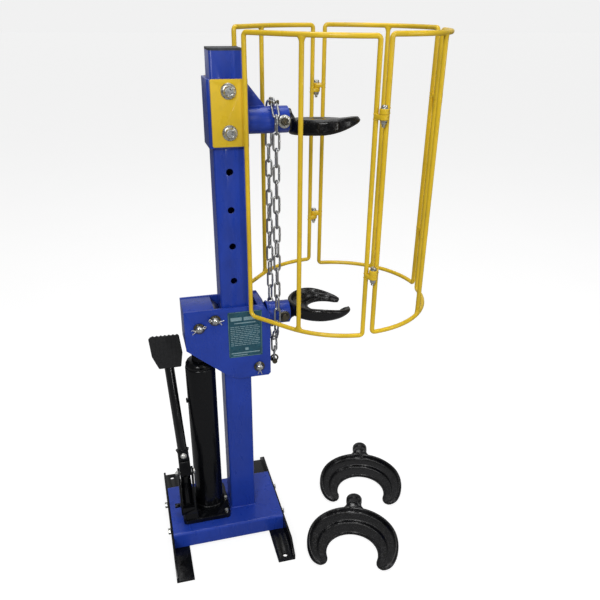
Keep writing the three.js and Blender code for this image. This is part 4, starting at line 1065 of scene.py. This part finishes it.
def build_chain():
    line = chain_line()
    shell = Shell()
    fine = spaced(line, 0.5)
    spots = [fine[0]]
    for p in fine:
        if (p - spots[-1]).length >= CHAIN["pitch"]:
            spots.append(p)
    rng = random.Random(5)
    for index, (a, b) in enumerate(zip(spots, spots[1:])):
        along = (b - a).normalized()
        twist = rng.uniform(-0.22, 0.22) + (0.55 if a.y > 5 else 0.1)
        turn = pi / 2 * (index % 2) + (0 if a.z > ARM_Z["upper"] - 30 else twist)
        across = Vector(RIGHT) * cos(turn) + Vector(RIGHT).cross(along) * sin(turn)
        link(shell, (a + b) / 2, along, across)
    join = Vector((CHAIN["x"], 0, CHAIN["join"] - 12))
    link(shell, join, Vector((0, 0.12, 1)), Vector((1, 0.2, 0)))
    link(shell, join - Vector((0, 0, 24)), Vector((0.06, 0, 1)), Vector((0.3, 1, 0)), 0.95)
    build("safety_chain_links", shell, CHAIN_ZINC, "stand", ["safety_chain"])
    tail = Shell()
    x, foot = CHAIN["x"], CHAIN["end"]
    tail.turned((x, -8, foot + 6), BACK, [(0, 0), (5.4, 0), (5.8, 0.6), (5.8, 3.6), (5.2, 4.2), (3, 4.2),
                                              (3, 12), (4.9, 12), (4.9, 16), (0, 16)], 20)
    tail.tube(circle_line((x, 0, foot + 12), BACK, 8.0, 24), 2.0, 10, closed=True)
    pin_z = ARM_Z["upper"] + 33
    tail.turned((x - 9, -14, pin_z), RIGHT, [(0, 0), (4.4, 0), (4.8, 0.5), (4.8, 3), (2.6, 3.2), (2.6, 15),
                                                 (4.2, 15), (4.2, 18.5), (0, 18.5)], 20)
    build("chain_shackle_bolts", tail, DULL, "stand")


# ---- pump and pedal
LEAN = Matrix.Translation(PIVOT) @ Matrix.Rotation(radians(-LEVER_LEAN), 4, "X")


def lever_line(along):
    slope = tan(radians(LEVER_SIDE))
    return Vector((slope * (along - 30), LEVER_OUT, along))


def build_pedal():
    shell = Shell()
    line = [lever_line(35.4), lever_line(90), lever_line(170), lever_line(250)]
    shell.tube(spaced(line, 20), ARM_BAR_R, 36)
    shell.moved(LEAN)
    build("pedal_arm_tube", shell, LEVER, "pedal", ["pedal_arm"])
    pad = Shell()
    edge = [(-19.5, PAD_FOOT), (29, PAD_FOOT), (35, PAD_FOOT + 32), (31, PAD_HEAD - 2.4),
            (-31.5, PAD_HEAD - 1.4), (-36, PAD_HEAD - 6), (-32.4, PAD_FOOT + 29)]
    pad.prism(rounded(edge, [4, 3, 9, 2.5, 2.5, 3, 9], 5), "y", PAD_FACE, PAD_FACE + 10, 1.2)
    ribs = 7
    for k in range(ribs):
        x = -26 + 53 * k / (ribs - 1)
        foot = PAD_FOOT + 8 + max(0, -14 - x) * 2.2
        head = PAD_HEAD - 0.4 - 0.016 * x
        rib = rounded(rect(x - 2.3, x + 2.3, foot, head), 1.6, 4)
        pad.prism(rib, "y", PAD_FACE - 1.2, PAD_FACE + 9.6, 0.6)
    lean_x = tan(radians(LEVER_SIDE)) * (PAD_FOOT + 6)
    pad.moved(LEAN @ Matrix.Translation((lean_x - 1.5, LEVER_OUT - 12.8, 0)))
    build("pedal_pad_ribbed", pad, RUBBER, "pedal", ["pedal_pad"])
    web = Shell()
    web.prism(rounded(rect(-12, 12, -5, 27), 3, 4), "y", -9.6, -5.2, 0.8)
    web.moved(LEAN)
    build("pedal_socket_web", web, BLACK, "pedal")
    screw = Shell()
    face = lever_line(40) - Vector((0, 12.2, 0))
    screw.turned(face, FRONT, [(0, 0), (7.0, 0), (7.0, 1.2), (6.0, 2.8), (3.6, 3.8), (0, 4.2)], 32)
    screw.moved(LEAN)
    build("pedal_socket_screw", screw, SPLIT_STEEL, "pedal")


def build_pump_gland():
    low = PUMP["top"] - 1
    shell = Shell()
    ring = [(5.7, low), (11.6, low), (11.6, low + 16), (10.4, low + 18), (6.6, low + 18), (5.7, low + 17.2),
            (5.7, low)]
    shell.turned((PUMP["x"], PUMP["y"], 0), UP, ring, 32)
    build("pump_gland", shell, BLACK, "stand")


def build_pivot_pin():
    x, y, z = PIVOT
    shell = Shell()
    profile = [(0, -22.8), (3.2, -22.8), (3.9, -22), (3.9, 17.9), (6.3, 17.9), (6.5, 18.4), (6.5, 21),
               (5.6, 21.9), (0, 21.9)]
    shell.turned((x, y, z), RIGHT, profile, 28)
    shell.tube(circle_line((x - 19.8, y, z), RIGHT, 4.9, 20, 0.5, 5.2), 0.8, 8)
    build("pedal_pivot_pin_turned", shell, ZINC, "stand", ["pedal_pivot_pin"])


# ---- studio
def build_studio():
    pale = Finish("studio_floor", (0.34, 0.34, 0.34), 0.9)
    pale.put("Base Color", pale.mix(pale.noise(3, 2), (0.33, 0.33, 0.33, 1), (0.36, 0.36, 0.36, 1)))
    straight = pale.nodes.new("ShaderNodeLightPath").outputs["Is Camera Ray"]
    pale.put("Emission Color", (1, 1, 1, 1))
    pale.put("Emission Strength", pale.math("MULTIPLY", straight, FLOOR_GLOW))
    mesh = bpy.data.meshes.new("studio_floor")
    corners = rect(-FLOOR_HALF, FLOOR_HALF, -FLOOR_HALF, FLOOR_HALF)
    mesh.from_pydata([(x, y, 0) for x, y in corners], [], [(0, 1, 2, 3)])
    mesh.materials.append(pale.material)
    linked("studio_floor", mesh)
    world = bpy.data.worlds.new("studio")
    bpy.context.scene.world = world
    world.use_nodes = True
    nodes, links = world.node_tree.nodes, world.node_tree.links
    seen = nodes.new("ShaderNodeBackground")
    seen.inputs["Color"].default_value = (SKY, SKY, SKY, 1)
    nodes["Background"].inputs["Color"].default_value = (1, 1, 1, 1)
    split = nodes.new("ShaderNodeSeparateXYZ")
    links.new(nodes.new("ShaderNodeTexCoord").outputs["Generated"], split.inputs[0])
    behind = nodes.new("ShaderNodeMapRange")
    for name, value in (("From Min", 0.3), ("From Max", 0.9), ("To Min", 0.15), ("To Max", 0.5)):
        behind.inputs[name].default_value = value
    links.new(split.outputs["Y"], behind.inputs["Value"])
    links.new(behind.outputs["Result"], nodes["Background"].inputs["Strength"])
    choose = nodes.new("ShaderNodeMixShader")
    links.new(nodes.new("ShaderNodeLightPath").outputs["Is Camera Ray"], choose.inputs[0])
    links.new(nodes["Background"].outputs[0], choose.inputs[1])
    links.new(seen.outputs[0], choose.inputs[2])
    links.new(choose.outputs[0], nodes["World Output"].inputs["Surface"])

    for name, location, aim, (width, length), power in LAMPS:
        light = bpy.data.lights.new(name, "AREA")
        light.shape = "RECTANGLE"
        light.size, light.size_y, light.energy = width, length, power
        lamp = linked(name, light)
        lamp.location = location
        lamp.rotation_euler = (Vector((0, 0, aim)) - Vector(location)).to_track_quat("-Z", "Y").to_euler()
        lamp.visible_camera = False


def build_camera():
    data = bpy.data.cameras.new("camera")
    data.lens, data.sensor_width, data.shift_y = CAMERA["lens"], CAMERA["sensor"], CAMERA["shift"]
    data.clip_end = 2 * FLOOR_HALF
    camera = linked("camera", data)
    yaw, pitch, roll = radians(CAMERA["yaw"]), radians(90 - CAMERA["down"]), radians(CAMERA["roll"])
    turn = Matrix.Rotation(yaw, 4, "Z") @ Matrix.Rotation(pitch, 4, "X") @ Matrix.Rotation(roll, 4, "Z")
    camera.matrix_world = Matrix.Translation(place(CAMERA["at"])) @ turn
    bpy.context.scene.camera = camera


# ---- assembly
KEPT = (
    (BLACK, 0.8, "left_foot_angle right_foot_angle"),
    (BLUE, 0.6, "post"),
    (CAP, 1.2, "post_cap"),
    (BLUE, 0.9, "upper_sleeve carriage_front_plate carriage_rear_plate"),
    (BLUE, 0.7, "upper_arm_tube lower_arm_tube"),
    (BLUE, 0.8, "upper_arm_gusset"),
    (YELLOW, 0.8, "cage_plate_front cage_plate_rear"),
    (BLACK, 1.2, "ram_base_block"),
    (BLACK, 0.6, "ram_gland"),
    (ROD, 0.5, "ram_rod"),
    (BLUE, 1.0, "carriage_left_web carriage_right_web"),
    (STEEL, 0.8, "upper_roller lower_roller"),
    (BLACK, 0.7, "pump_barrel pedal_socket"),
    (DULL, 0.4, "pump_piston"),
    (ROD, 0.4, "release_valve_screw"),
)

for material, bevel, nodes in KEPT:
    for node in nodes.split():
        dress(node, material, bevel)
build_tray()
for side, word in ((-1, "left"), (1, "right")):
    for y, end in zip(FOOT_BOLT_Y, ("front", "rear")):
        foot_bolt(side, y, f"{word}_foot_bolt_{end}")
for z, name in zip(SLEEVE_BOLT_Z, ("sleeve_bolt_lower", "sleeve_bolt_upper")):
    sleeve_bolt(z, name)
build_welds()
build_ram()
build_pins()
build_lock_bolts()
build_label()
build_yokes()
build_cage()
build_eye_bolts()
build_chain()
build_pedal()
build_pump_gland()
build_pivot_pin()
build_studio()
build_camera()

bpy.context.scene.view_settings.view_transform = "Standard"

bpy.context.view_layer.update()
